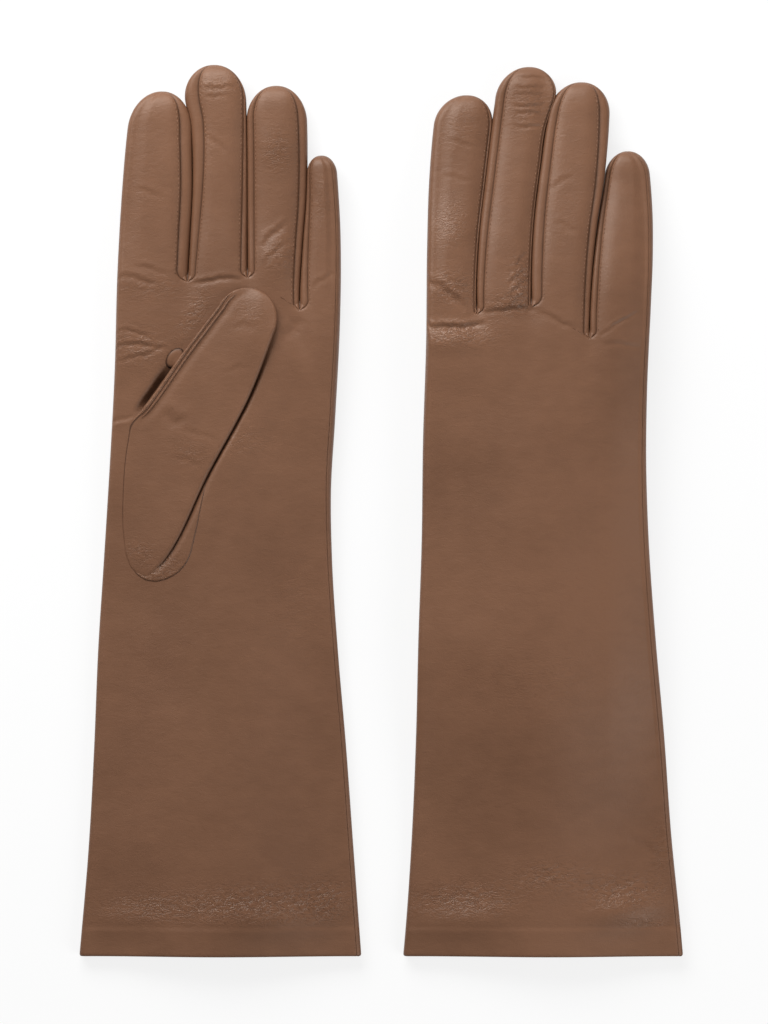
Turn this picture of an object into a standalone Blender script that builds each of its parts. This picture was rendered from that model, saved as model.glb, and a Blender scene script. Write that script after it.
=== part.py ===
"""A pair of long leather dress gloves, laid side by side on a table.

The left-hand glove lies palm up with its thumb folded over the palm. The right-hand glove lies palm down
with its thumb tucked under it. Each glove is cut as a glover cuts it: one trank wraps the palm, back and
cuff, the fingers are closed at their sides by fourchettes, small quirks close the forks, the thumb is set
into a hole in the palm, and a silk lining is sewn to the turned hem. The trank is divided across each
finger's root, where the empty glove folds.

Metres, +X across the pair, +Y towards the fingertips, +Z up. The origin is on the table under the middle of
the pair. Heights along a glove are measured from its hem.
"""

import math
from typing import NamedTuple

import bmesh
import bpy
import numpy as np
from mathutils import Vector

MM = 0.001

# Skins, the clearances between pieces that are sewn together, and how far a finger's cut edge leans inwards
LEATHER = 0.8 * MM
QUIRK_LEATHER = 0.6 * MM
LINING = 0.4 * MM
SEWN_GAP = 0.3 * MM
LINING_EASE = 0.45 * MM
LINING_SEAM = 1.2 * MM
EDGE_LEAN = 0.7
WELD = 0.01 * MM

# The trank, laid flat. Drops are from the top of the middle finger, so a longer glove has a longer cuff
GLOVE_LENGTH = 350 * MM
HEM_WIDTH = 110 * MM
FOREARM_WIDTH = 96 * MM
FOREARM_DROP = 250 * MM
WRIST_WIDTH = 88 * MM
WRIST_DROP = 165 * MM
FOREARM_OFFSET = -0.8 * MM
WRIST_OFFSET = -0.6 * MM
KNUCKLE_OFFSET = 3.0 * MM
HAND_THICKNESS = 10 * MM
HEM_SIDE_THICKNESS = 5 * MM
WRIST_SIDE_THICKNESS = 7 * MM
FOLD_DEPTH = 4 * MM
HEM_DEPTH = 12 * MM
HEM_THICKNESS = 1.7 * MM

# The forks between the fingers, from index and middle to ring and little
PALM_FORK_DROPS = (84 * MM, 83 * MM, 95 * MM)
BACK_FORK_DROP = 11.5 * MM
FORK_WIDTH = 6.6 * MM
FINGER_SPACE = 0.6 * MM

# The fingers. Each folds a little above its higher fork. A rolled glove shows more of one edge
INDEX_WIDTH = 24 * MM
MIDDLE_WIDTH = 23 * MM
RING_WIDTH = 21.5 * MM
LITTLE_WIDTH = 19.5 * MM
INDEX_ROLL = 3.75 * MM
MIDDLE_ROLL = 0.8 * MM
INDEX_TIP_DROP = 11 * MM
RING_TIP_DROP = 7.5 * MM
LITTLE_TIP_DROP = 35 * MM
FOLD_RISE = 7 * MM
FINGER_THICKNESS = 9.5 * MM
FINGER_CROWN = 1.4 * MM
TIP_ROUNDNESS = 1.15
TIP_TURN_UP = 0.35
TIP_FOLD_SHARE = 0.6
TIP_WIDTH_POWER = 2
TIP_THICKNESS_POWER = 3
FOLD_AXIS_LIFT = 0.4 * MM

# The thumb, measured along its own axis from the pivot at its heel
THUMB_PIVOT_ACROSS = -29.5 * MM
THUMB_PIVOT_DROP = 188 * MM
THUMB_SLANT = 23.7
THUMB_THICKNESS = 8 * MM
THUMB_LAYER_GAP = 0.4 * MM
THUMB_FOLD_DEPTH = 3.2 * MM
THUMB_HEEL = 11.5 * MM
THUMB_LENGTH = 110 * MM
THUMB_TIP_ROUND = 13 * MM
THUMB_HEEL_WIDTH = 24 * MM
THUMB_BALL_WIDTH = 36 * MM
THUMB_BALL_AT = 46 * MM
THUMB_MID_WIDTH = 31 * MM
THUMB_MID_AT = 75 * MM
THUMB_END_WIDTH = 24 * MM
THUMB_HOLE_AT = 21 * MM
THUMB_HOLE_LENGTH = 44 * MM
THUMB_HOLE_WIDTH = 18 * MM

# The small gusset at the thumb's fork, let into the palm
THUMB_QUIRK_ACROSS = -27 * MM
THUMB_QUIRK_DROP = 124 * MM
THUMB_QUIRK_LENGTH = 26 * MM
THUMB_QUIRK_WIDTH = 5.5 * MM
THUMB_QUIRK_SLANT = 31.8

# How the pair lies
PAIR_SPACING = 126.8 * MM
DRAPE_FOOT = 35 * MM
DRAPE_LEAD = 24 * MM
DRAPE_SIDE_FROM = 24 * MM
DRAPE_SIDE_TO = 62 * MM

# Sampling of the surfaces
FLAT_COLUMNS = 3
FOLD_COLUMNS = 4
FINGER_ROWS = (0.0, 0.3, 0.62, 1.0)
TIP_ROWS = (0.5, 0.8, 0.96)
HOLE_SIDES = 20


class Finger(NamedTuple):
    """A finger's flat width at its root, what a rolled glove adds to it, and its tip's drop below the top."""

    name: str
    root_width: float
    roll: float
    tip_drop: float


FINGERS = (
    Finger("index", INDEX_WIDTH, INDEX_ROLL, INDEX_TIP_DROP),
    Finger("middle", MIDDLE_WIDTH, MIDDLE_ROLL, 0.0),
    Finger("ring", RING_WIDTH, 0.0, RING_TIP_DROP),
    Finger("little", LITTLE_WIDTH, -INDEX_ROLL - MIDDLE_ROLL, LITTLE_TIP_DROP),
)
FOREARM_AT = GLOVE_LENGTH - FOREARM_DROP
WRIST_AT = GLOVE_LENGTH - WRIST_DROP
PALM_FORKS_AT = [GLOVE_LENGTH - drop for drop in PALM_FORK_DROPS]
THUMB_PIVOT_AT = GLOVE_LENGTH - THUMB_PIVOT_DROP
THUMB_QUIRK_AT = GLOVE_LENGTH - THUMB_QUIRK_DROP
KNUCKLE_AT = min(PALM_FORKS_AT) - BACK_FORK_DROP
KNUCKLE_WIDTH = sum(finger.root_width for finger in FINGERS)
THUMB_LIFT = THUMB_THICKNESS + THUMB_LAYER_GAP
SKIN_INSET = LEATHER + LINING_EASE
FOURCHETTE_SEAM = SEWN_GAP + EDGE_LEAN * LEATHER


class Lay(NamedTuple):
    """How one glove lies: its upper face, place and lean, and the leans of the lines beside its fingers."""

    side: str
    palm_up: bool
    centre: float
    lean: float
    roll: int
    line_leans: tuple


LEFT = Lay("left", True, -PAIR_SPACING / 2, 0.0, 1, (3.2, 1.1, -0.7, 2.2, -1.8))
RIGHT = Lay("right", False, PAIR_SPACING / 2, -1.2, -1, (2.2, 5.0, 4.1, 4.3, 0.3))


def ease(low, high, value):
    """A smooth rise from 0 at low to 1 at high."""
    share = min(1.0, max(0.0, (value - low) / (high - low)))
    return share * share * (3 - 2 * share)


def flow(marks, values, at):
    """A smooth curve through the values at the marks, held level beyond the first and the last."""
    marks, values = np.array(marks, float), np.array(values, float)
    slopes = np.gradient(values, marks)
    place = min(max(at, marks[0]), marks[-1])
    left = min(int(np.searchsorted(marks, place, side="right")) - 1, len(marks) - 2)
    span = marks[left + 1] - marks[left]
    share = (place - marks[left]) / span
    rise = ease(0.0, 1.0, share)
    lead = slopes[left] * share * (1 - share) ** 2 - slopes[left + 1] * share**2 * (1 - share)
    return float(values[left] + (values[left + 1] - values[left]) * rise + span * lead)


def clear_scene():
    for item in list(bpy.data.objects):
        bpy.data.objects.remove(item, do_unlink=True)


def new_collection(name):
    collection = bpy.data.collections.new(name)
    bpy.context.scene.collection.children.link(collection)
    return collection


def new_material(name, colour, roughness):
    material = bpy.data.materials.new(name)
    material.use_nodes = True
    shader = material.node_tree.nodes["Principled BSDF"]
    shader.inputs["Base Color"].default_value = (*colour, 1.0)
    shader.inputs["Roughness"].default_value = roughness
    shader.inputs["Metallic"].default_value = 0.0
    return material


clear_scene()
GLOVES = new_collection("leather_gloves")
CUTTERS = new_collection("cutters")
NAPPA = new_material("brown_nappa", (0.190, 0.096, 0.056), 0.42)
SIDE_NAPPA = new_material("fourchette_nappa", (0.170, 0.085, 0.050), 0.45)
SILK = new_material("silk_lining", (0.300, 0.205, 0.140), 0.35)


def add_object(name, mesh, material, parent, collection=None):
    item = bpy.data.objects.new(name, mesh)
    (collection or GLOVES).objects.link(item)
    item.parent = parent
    if material:
        mesh.materials.append(material)
    return item


def add_empty(name, location, rotation=(0.0, 0.0, 0.0), parent=None):
    empty = bpy.data.objects.new(name, None)
    GLOVES.objects.link(empty)
    empty.parent = parent
    empty.location = location
    empty.rotation_euler = rotation
    return empty


def surface(name, columns, rows, point, keep=None):
    """A grid of faces moved to point(column, row). Columns and rows that meet are welded into one."""
    shell = bmesh.new()
    bmesh.ops.create_grid(shell, x_segments=columns, y_segments=rows, size=1.0)
    place = {}
    for vertex in shell.verts:
        column = round((vertex.co.x + 1) / 2 * columns)
        row = round((vertex.co.y + 1) / 2 * rows)
        place[vertex] = (column, row)
    if keep:
        dropped = [face for face in shell.faces if not keep(*map(min, zip(*(place[v] for v in face.verts))))]
        bmesh.ops.delete(shell, geom=dropped, context="FACES")
    for vertex in shell.verts:
        vertex.co = point(*place[vertex])
    bmesh.ops.remove_doubles(shell, verts=shell.verts, dist=WELD)
    bmesh.ops.recalc_face_normals(shell, faces=shell.faces)
    mesh = bpy.data.meshes.new(name)
    shell.to_mesh(mesh)
    shell.free()
    mesh.shade_smooth()
    return mesh


def thicken(item, thickness):
    """Gives a skin its thickness on its inner side."""
    solidify = item.modifiers.new("skin", "SOLIDIFY")
    solidify.thickness = thickness
    solidify.offset = -1.0
    solidify.use_even_offset = True
    return solidify


def ellipse_prism(name, length, width, height):
    """An upright prism with an elliptical outline, long in Y, standing about its own origin."""
    prism = bmesh.new()
    bmesh.ops.create_cone(prism, cap_ends=True, segments=HOLE_SIDES, radius1=0.5, radius2=0.5, depth=1.0)
    bmesh.ops.scale(prism, vec=(width, length, height), verts=prism.verts)
    mesh = bpy.data.meshes.new(name)
    prism.to_mesh(mesh)
    prism.free()
    return mesh


def add_cutter(name, mesh, location, slant, parent):
    cutter = add_object(name, mesh, None, parent, CUTTERS)
    cutter.location = location
    cutter.rotation_euler = (0, 0, -math.radians(slant))
    cutter.display_type = "WIRE"
    cutter.hide_render = True
    return cutter


def cut(item, cutter):
    boolean = item.modifiers.new(cutter.name, "BOOLEAN")
    boolean.operation = "DIFFERENCE"
    boolean.object = cutter


def with_middles(marks):
    """The marks, and the middle of each stretch between them."""
    middles = [(low + high) / 2 for low, high in zip(marks, marks[1:])]
    return sorted([*marks, *middles])


TRANK_MARKS = (0, FOREARM_AT, WRIST_AT, KNUCKLE_AT)
TRANK_HEIGHTS = with_middles(TRANK_MARKS)[1:-1]


def trank_width(height):
    return flow(TRANK_MARKS, (HEM_WIDTH, FOREARM_WIDTH, WRIST_WIDTH, KNUCKLE_WIDTH), height)


def trank_centre(lay, height):
    offset = flow(TRANK_MARKS, (0, FOREARM_OFFSET, WRIST_OFFSET, KNUCKLE_OFFSET), height)
    return offset + min(height, KNUCKLE_AT) * math.tan(math.radians(lay.lean))


def trank_thickness(share, height):
    """The hollow hand's thickness at a share of its width: full in the middle, and less towards the folds."""
    marks = (0, WRIST_AT, KNUCKLE_AT)
    side = flow(marks, (HEM_SIDE_THICKNESS, WRIST_SIDE_THICKNESS, HAND_THICKNESS), height)
    return side + (HAND_THICKNESS - side) * (1 - (2 * share - 1) ** 2)


def drape(lay, across, height):
    """How far the glove is held off the table by a thumb tucked under it."""
    if lay.palm_up:
        return 0.0
    thumb_foot = THUMB_PIVOT_AT - THUMB_HEEL
    thumb_top = THUMB_PIVOT_AT + THUMB_LENGTH * math.cos(math.radians(THUMB_SLANT))
    rise = ease(DRAPE_FOOT, thumb_foot - DRAPE_LEAD, height)
    fall = 1 - ease(thumb_top, GLOVE_LENGTH, height)
    side = 1 - ease(DRAPE_SIDE_FROM, DRAPE_SIDE_TO, across)
    return THUMB_LIFT * rise * fall * side


def laid(lay, across, height, depth, thickness=HAND_THICKNESS):
    """A point of the hand in its glove's own frame. Depth is measured from the back towards the palm."""
    level = depth if lay.palm_up else thickness - depth
    return Vector((across, height, level + drape(lay, across, height)))


def fold_at(number):
    """The height at which a finger folds."""
    return max(PALM_FORKS_AT[fork] for fork in finger_forks(number)) + FOLD_RISE


def tip_at(number):
    return GLOVE_LENGTH - FINGERS[number].tip_drop


def finger_widths(lay):
    return [finger.root_width + lay.roll * finger.roll for finger in FINGERS]


def fork_lines(lay):
    """Where the glove's edges and the lines between its fingers cross the knuckles, from the index edge."""
    return np.concatenate([[0.0], np.cumsum(finger_widths(lay))])


def finger_root(lay, number):
    """A finger's root in its glove's frame: its middle and its half width."""
    lines = fork_lines(lay)
    left_edge = trank_centre(lay, KNUCKLE_AT) - KNUCKLE_WIDTH / 2
    middle = left_edge + (lines[number] + lines[number + 1]) / 2
    return middle, (lines[number + 1] - lines[number] - FINGER_SPACE) / 2


class Station(NamedTuple):
    """A place round the trank: across its flat width, in depth, out on a fold, and in a finger or a fork."""

    across: float
    depth: float
    fold: float
    finger: int
    left_fork: int
    right_fork: int
    share: float


def finger_forks(number):
    """The forks on the two sides of a finger. An outer finger has the same one twice."""
    last = len(PALM_FORKS_AT) - 1
    return max(0, number - 1), min(last, number)


def flat_stations(lay, depth):
    """The places across one flat face of the trank, from the index edge to the little finger's edge."""
    lines = fork_lines(lay)
    flat_width = KNUCKLE_WIDTH - 2 * FOLD_DEPTH
    last = len(FINGERS) - 1
    found = []
    for number in range(len(FINGERS)):
        low = lines[number] + (FORK_WIDTH / 2 if number else FOLD_DEPTH)
        high = lines[number + 1] - (FORK_WIDTH / 2 if number < last else FOLD_DEPTH)
        for step in range(FLAT_COLUMNS + 1):
            share = step / FLAT_COLUMNS
            across = (low + (high - low) * share - FOLD_DEPTH) / flat_width
            found.append(Station(across, depth, 0.0, number, *finger_forks(number), share))
        if number < last:
            across = (lines[number + 1] - FOLD_DEPTH) / flat_width
            found.append(Station(across, depth, 0.0, -1, number, number, 0.0))
    return found


def trank_stations(lay):
    """The places round the whole trank: palm, little finger's edge, back, and the fold at the index edge."""
    turns = [math.pi * step / FOLD_COLUMNS for step in range(1, FOLD_COLUMNS)]
    palm, back = flat_stations(lay, 1.0), flat_stations(lay, 0.0)
    outer = [palm[-1]._replace(depth=(1 + math.cos(turn)) / 2, fold=math.sin(turn)) for turn in turns]
    inner = [palm[0]._replace(depth=(1 - math.cos(turn)) / 2, fold=-math.sin(turn)) for turn in turns]
    return palm + outer + back[::-1] + inner


def fork_at(fork, depth):
    """The height of a fork's bottom: the slit runs further down the back than down the palm."""
    return PALM_FORKS_AT[fork] - BACK_FORK_DROP * (1 - depth)


def slit_bottom(station, depth):
    left, right = fork_at(station.left_fork, depth), fork_at(station.right_fork, depth)
    return left + (right - left) * station.share


def fork_line(station):
    """The height at which the whole trank ends and its finger strips begin."""
    return slit_bottom(station, station.depth) + (FORK_WIDTH / 2 if station.finger >= 0 else 0.0)


def lining_top(station):
    """The height at which the hand's lining stops, just under the slits in the back."""
    return slit_bottom(station, 0.0) - SKIN_INSET


def hand_point(lay, station, height, inset):
    """A point of the trank, or of a skin that lies inset inside it."""
    width = trank_width(height) - 2 * inset
    fold = FOLD_DEPTH - inset
    across = trank_centre(lay, height) + (station.across - 0.5) * (width - 2 * fold) + station.fold * fold
    thickness = trank_thickness(station.across, height)
    depth = inset + station.depth * (thickness - 2 * inset)
    return laid(lay, across, height, depth, thickness)


def stub_point(lay, station):
    """A point of a finger strip's end, on the line where the finger folds."""
    middle, half_width = finger_root(lay, station.finger)
    lines = fork_lines(lay)
    knuckle = FOLD_DEPTH + station.across * (KNUCKLE_WIDTH - 2 * FOLD_DEPTH) + station.fold * FOLD_DEPTH
    offset = knuckle - (lines[station.finger] + lines[station.finger + 1]) / 2
    offset = max(-half_width, min(half_width, offset))
    thickness = HAND_THICKNESS - FINGER_CROWN * (1 if station.fold else (2 * station.share - 1) ** 2)
    point = laid(lay, middle, fold_at(station.finger), station.depth * thickness, thickness)
    return point + Vector((offset, 0, 0))


def build_trank(lay, glove):
    stations = trank_stations(lay)
    columns = len(stations)
    heights = [0.0, HEM_DEPTH, HEM_DEPTH + SEWN_GAP, *TRANK_HEIGHTS]
    last = len(heights) + 2

    def point(column, row):
        station = stations[column % columns]
        if row < len(heights):
            return hand_point(lay, station, heights[row], 0.0)
        if row == len(heights):
            return hand_point(lay, station, lining_top(station), 0.0)
        if row < last or station.finger < 0:
            return hand_point(lay, station, fork_line(station), 0.0)
        return stub_point(lay, station)

    def keep(column, row):
        ends = (stations[column], stations[(column + 1) % columns])
        return row < last - 1 or (ends[0].finger >= 0 and ends[0].finger == ends[1].finger)

    mesh = surface(f"{lay.side}_trank", columns, last, point, keep)
    trank = add_object(f"{lay.side}_trank", mesh, NAPPA, glove)
    turned = trank.vertex_groups.new(name="turned_hem")
    hem = [vertex.index for vertex in mesh.vertices if vertex.co.y < HEM_DEPTH + SEWN_GAP / 2]
    turned.add(hem, 1.0, "REPLACE")
    skin = thicken(trank, HEM_THICKNESS)
    skin.vertex_group = turned.name
    skin.thickness_vertex_group = LEATHER / HEM_THICKNESS
    return trank


def build_hand_lining(lay, glove):
    stations = trank_stations(lay)
    columns = len(stations)
    heights = [HEM_DEPTH + LINING_SEAM, *TRANK_HEIGHTS]

    def point(column, row):
        station = stations[column % columns]
        height = heights[row] if row < len(heights) else lining_top(station)
        return hand_point(lay, station, height, SKIN_INSET)

    mesh = surface(f"{lay.side}_hand_lining", columns, len(heights), point)
    lining = add_object(f"{lay.side}_hand_lining", mesh, SILK, glove)
    thicken(lining, LINING)
    return lining


def build_quirk(lay, glove, fork):
    """The strip that closes the bottom of a fork, from the slit in the back to the slit in the palm."""
    arm_tops = [fold_at(number) - SEWN_GAP for number in (fork, fork + 1)]
    line = trank_centre(lay, KNUCKLE_AT) - KNUCKLE_WIDTH / 2 + fork_lines(lay)[fork + 1]
    clear = SEWN_GAP + QUIRK_LEATHER / 2
    arm = FORK_WIDTH / 2 - clear
    inner = LEATHER + clear
    seam = HAND_THICKNESS - FINGER_CROWN
    levels = ((SEWN_GAP, 0.0), (inner, 0.0), (seam - inner, 1.0), (seam - SEWN_GAP, 1.0))

    def point(column, row):
        depth, side = levels[row]
        bottom = fork_at(fork, side) + 2 * clear
        shoulder = bottom + arm
        outline = (
            (-arm, arm_tops[0]),
            (-arm, shoulder),
            (0.0, bottom),
            (arm, shoulder),
            (arm, arm_tops[1]),
        )
        across, height = outline[column]
        return laid(lay, line + across, height, depth, seam)

    name = f"{lay.side}_quirk_{FINGERS[fork].name}_{FINGERS[fork + 1].name}"
    quirk = add_object(name, surface(name, 4, len(levels) - 1, point), SIDE_NAPPA, glove)
    thicken(quirk, QUIRK_LEATHER).offset = 0.0


UPPER_FACE, RIGHT_SIDE, LOWER_FACE, LEFT_SIDE = range(4)
FACE_COLUMNS = [step / FLAT_COLUMNS for step in range(FLAT_COLUMNS)]
SIDE_COLUMNS = [step / FOLD_COLUMNS for step in range(FOLD_COLUMNS)]
RING = [
    *((UPPER_FACE, share) for share in FACE_COLUMNS),
    *((RIGHT_SIDE, share) for share in SIDE_COLUMNS),
    *((LOWER_FACE, share) for share in FACE_COLUMNS),
    *((LEFT_SIDE, share) for share in SIDE_COLUMNS),
]


def tip_share(past, power):
    """What a round tip leaves of a width or a thickness, past its start."""
    return math.sqrt(max(0.0, 1 - past**power))


class FingerForm(NamedTuple):
    """A finger in the frame of its fold: +Y along it, +Z up, and a lean across for each unit along."""

    length: float
    root_half: float
    left_lean: float
    right_lean: float
    start: float
    inset: float

    def body_half(self, along):
        return self.root_half + along * (self.right_lean - self.left_lean) / 2

    def body_length(self):
        """The distance at which the tip starts to round."""
        return self.length - TIP_ROUNDNESS * self.body_half(self.length)

    def past_body(self, along):
        """0 up to where the tip starts to round, and 1 at its end."""
        return max(0.0, (along - self.body_length()) / (self.length - self.inset - self.body_length()))

    def half_width(self, along):
        return (self.body_half(along) - self.inset) * tip_share(self.past_body(along), TIP_WIDTH_POWER)

    def thickness(self, along):
        """The thickness of the body, and what the round tip leaves of it."""
        marks = (0, self.body_length() / 2)
        thick = float(np.interp(along, marks, (HAND_THICKNESS, FINGER_THICKNESS))) - 2 * self.inset
        return thick, thick * tip_share(self.past_body(along), TIP_THICKNESS_POWER)

    def rows(self):
        body, tip = self.body_length(), self.length - self.inset - self.body_length()
        straight = [self.start + share * (body - self.start) for share in FINGER_ROWS]
        return straight + [body + share * tip for share in (*TIP_ROWS, 1.0)]

    def point(self, part, share, along, seam_gap=0.0):
        """A point round the finger, at a share of its upper face, right side, lower face or left side."""
        half = self.half_width(along)
        full, thick = self.thickness(along)
        fold = min(TIP_FOLD_SHARE * half, (FORK_WIDTH - FINGER_SPACE) / 2 - self.inset)
        flat = half - fold
        floor = self.inset - FOLD_AXIS_LIFT - HAND_THICKNESS + TIP_TURN_UP * (full - thick)
        seam = thick * (1 - FINGER_CROWN / full)
        angle = math.pi * share
        bulge = seam_gap + (fold - seam_gap) * math.sin(angle)
        if part == UPPER_FACE:
            across, level = -flat + 2 * flat * share, thick - (thick - seam) * (2 * share - 1) ** 2
        elif part == RIGHT_SIDE:
            across, level = flat + bulge, seam * (1 + math.cos(angle)) / 2
        elif part == LOWER_FACE:
            across, level = flat - 2 * flat * share, 0.0
        else:
            across, level = -flat - bulge, seam * (1 - math.cos(angle)) / 2
        middle = along * (self.left_lean + self.right_lean) / 2
        return Vector((middle + across, along, floor + level))


def finger_form(lay, number):
    """A finger's form, and the pitch at which it slopes from a raised root until its tip meets the table."""
    middle, half_width = finger_root(lay, number)
    lift = drape(lay, middle, fold_at(number))
    leans = [math.tan(math.radians(lean)) for lean in lay.line_leans[number : number + 2]]
    length = math.hypot(tip_at(number) - fold_at(number), lift)
    form = FingerForm(length, half_width, *leans, 0.0, 0.0)
    body = form.body_length()
    touch = body + TIP_ROWS[0] * (length - body)
    full, thick = form.thickness(touch)
    pitch = -math.asin((lift + TIP_TURN_UP * (full - thick)) / touch) if lift else 0.0
    start = SEWN_GAP + (HAND_THICKNESS + FOLD_AXIS_LIFT) * math.sin(-pitch)
    return form._replace(start=start), pitch


def build_finger(lay, glove, number):
    """One finger: its leather, its fourchettes and its lining, on an empty that stands on the fold line."""
    form, pitch = finger_form(lay, number)
    middle, _ = finger_root(lay, number)
    top = HAND_THICKNESS + FOLD_AXIS_LIFT + drape(lay, middle, fold_at(number))
    name = f"{lay.side}_{FINGERS[number].name}"
    fold = add_empty(f"{name}_fold", (middle, fold_at(number), top), (pitch, 0.0, 0.0), glove)
    sewn_sides = {}
    if number < len(FINGERS) - 1:
        sewn_sides[RIGHT_SIDE] = "outer"
    if number > 0:
        sewn_sides[LEFT_SIDE] = "inner"

    def keep(column, row):
        return RING[column][0] not in sewn_sides or row >= len(FINGER_ROWS) - 1

    thicken(add_object(f"{name}_finger", finger_mesh(f"{name}_finger", form, keep), NAPPA, fold), LEATHER)
    for part, word in sewn_sides.items():
        build_fourchette(f"{name}_{word}_fourchette", form, part, fold)
    inside = form._replace(inset=SKIN_INSET)
    thicken(add_object(f"{name}_lining", finger_mesh(f"{name}_lining", inside), SILK, fold), LINING)


def finger_mesh(name, form, keep=None):
    rows = form.rows()

    def point(column, row):
        return form.point(*RING[column % len(RING)], rows[row])

    return surface(name, len(RING), len(rows) - 1, point, keep)


def build_fourchette(name, form, part, fold):
    rows = form.rows()[: len(FINGER_ROWS)]
    rows[-1] -= FOURCHETTE_SEAM

    def point(column, row):
        return form.point(part, column / FOLD_COLUMNS, rows[row], FOURCHETTE_SEAM)

    mesh = surface(name, FOLD_COLUMNS, len(rows) - 1, point)
    thicken(add_object(name, mesh, SIDE_NAPPA, fold), LEATHER)


THUMB_MARKS = (0, THUMB_BALL_AT, THUMB_MID_AT, THUMB_LENGTH - THUMB_TIP_ROUND)


def thumb_past(along, inset):
    """0 along the thumb's body, and 1 at the ends of its round heel and tip."""
    beyond_tip = (along - THUMB_LENGTH + THUMB_TIP_ROUND) / (THUMB_TIP_ROUND - inset)
    return max(0.0, beyond_tip, -along / (THUMB_HEEL - inset))


def thumb_half_width(along, inset):
    widths = (THUMB_HEEL_WIDTH, THUMB_BALL_WIDTH, THUMB_MID_WIDTH, THUMB_END_WIDTH)
    half = flow(THUMB_MARKS, widths, along) / 2 - inset
    return half * tip_share(thumb_past(along, inset), TIP_WIDTH_POWER)


def thumb_thickness(along, inset):
    return (THUMB_THICKNESS - 2 * inset) * tip_share(thumb_past(along, inset), TIP_THICKNESS_POWER)


def thumb_rows(inset):
    ends = (*TIP_ROWS, 1.0)
    heel = [-share * (THUMB_HEEL - inset) for share in reversed(ends)]
    tip = [THUMB_MARKS[-1] + share * (THUMB_TIP_ROUND - inset) for share in ends]
    return heel + with_middles(THUMB_MARKS) + tip


def thumb_mesh(name, inset):
    """The thumb's skin, or one that lies inset inside it: a sleeve with a round heel and a round tip."""
    half_ring = FLAT_COLUMNS + FOLD_COLUMNS
    rows = thumb_rows(inset)

    def point(column, row):
        along = rows[row]
        half = thumb_half_width(along, inset)
        fold = min(TIP_FOLD_SHARE * half, THUMB_FOLD_DEPTH - inset)
        flat = half - fold
        lap, step = divmod(column % (2 * half_ring), half_ring)
        sign = 1 if lap == 0 else -1
        if step <= FLAT_COLUMNS:
            across, level = -flat + 2 * flat * step / FLAT_COLUMNS, 1.0
        else:
            angle = math.pi * (step - FLAT_COLUMNS) / FOLD_COLUMNS
            across, level = flat + fold * math.sin(angle), math.cos(angle)
        height = THUMB_THICKNESS / 2 + sign * level * thumb_thickness(along, inset) / 2
        return Vector((sign * across, along, height))

    return surface(name, 2 * half_ring, len(rows) - 1, point)


def build_thumb(lay, glove, skins):
    """The set-in thumb, on an empty at its heel, and the hole that it is sewn round in the hand's skins."""
    pivot_across = THUMB_PIVOT_ACROSS + THUMB_PIVOT_AT * math.tan(math.radians(lay.lean))
    floor = HAND_THICKNESS + THUMB_LAYER_GAP if lay.palm_up else 0.0
    place = (pivot_across, THUMB_PIVOT_AT, floor)
    heel = add_empty(f"{lay.side}_thumb_heel", place, (0, 0, -math.radians(THUMB_SLANT)), glove)
    thumb = add_object(f"{lay.side}_thumb", thumb_mesh(f"{lay.side}_thumb", 0.0), NAPPA, heel)
    thicken(thumb, LEATHER)
    lining_name = f"{lay.side}_thumb_lining"
    lining = add_object(lining_name, thumb_mesh(lining_name, SKIN_INSET), SILK, heel)
    thicken(lining, LINING)

    hole = ellipse_prism(f"{lay.side}_thumb_hole", THUMB_HOLE_LENGTH, THUMB_HOLE_WIDTH, THUMB_THICKNESS)
    level = -THUMB_LAYER_GAP / 2 if lay.palm_up else THUMB_THICKNESS + THUMB_LAYER_GAP / 2
    cutter = add_cutter(f"{lay.side}_thumb_hole", hole, (0, THUMB_HOLE_AT, level), 0.0, heel)
    for skin in (*skins, thumb, lining):
        cut(skin, cutter)


def build_thumb_quirk(lay, glove, trank):
    """The small gusset at the thumb's fork, let into a slit in the palm."""
    name = f"{lay.side}_thumb_quirk"
    across = THUMB_QUIRK_ACROSS + THUMB_QUIRK_AT * math.tan(math.radians(lay.lean))
    flat_width = trank_width(THUMB_QUIRK_AT) - 2 * FOLD_DEPTH
    share = 0.5 + (across - trank_centre(lay, THUMB_QUIRK_AT)) / flat_width
    thickness = trank_thickness(share, THUMB_QUIRK_AT)
    place = laid(lay, across, THUMB_QUIRK_AT, thickness - LEATHER / 2, thickness)
    slit_length = THUMB_QUIRK_LENGTH + 2 * SEWN_GAP
    slit_width = THUMB_QUIRK_WIDTH + 2 * SEWN_GAP
    slit = ellipse_prism(f"{name}_slit", slit_length, slit_width, HAND_THICKNESS / 2)
    cut(trank, add_cutter(f"{name}_slit", slit, place, THUMB_QUIRK_SLANT, glove))
    gusset = ellipse_prism(name, THUMB_QUIRK_LENGTH, THUMB_QUIRK_WIDTH, LEATHER)
    quirk = add_object(name, gusset, SIDE_NAPPA, glove)
    quirk.location = place
    quirk.rotation_euler = (0, 0, -math.radians(THUMB_QUIRK_SLANT))


def build_glove(lay):
    glove = add_empty(f"{lay.side}_glove", (lay.centre, -GLOVE_LENGTH / 2, 0))
    trank = build_trank(lay, glove)
    lining = build_hand_lining(lay, glove)
    for fork in range(len(PALM_FORKS_AT)):
        build_quirk(lay, glove, fork)
    for number in range(len(FINGERS)):
        build_finger(lay, glove, number)
    build_thumb(lay, glove, (trank, lining))
    build_thumb_quirk(lay, glove, trank)


for glove_lay in (LEFT, RIGHT):
    build_glove(glove_lay)
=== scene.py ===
# %% [markdown]
# # A pair of long leather gloves
#
# Two empty dress gloves lie side by side on a white table, seen from straight above. The left-hand one
# lies palm up with its thumb folded over the palm. The right-hand one lies palm down with its thumb
# tucked underneath.
#
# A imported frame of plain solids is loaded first. It fixes the size of the gloves and where their fingers
# fold. Every cell after that makes one real piece of a glove, as a surface that is worked out point by
# point. Leather that lies flat could also be sculpted or simulated as cloth. A worked-out surface was
# chosen because the seams then run exactly where the photograph shows them, and the folds at the fingers'
# roots stay under control.

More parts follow.
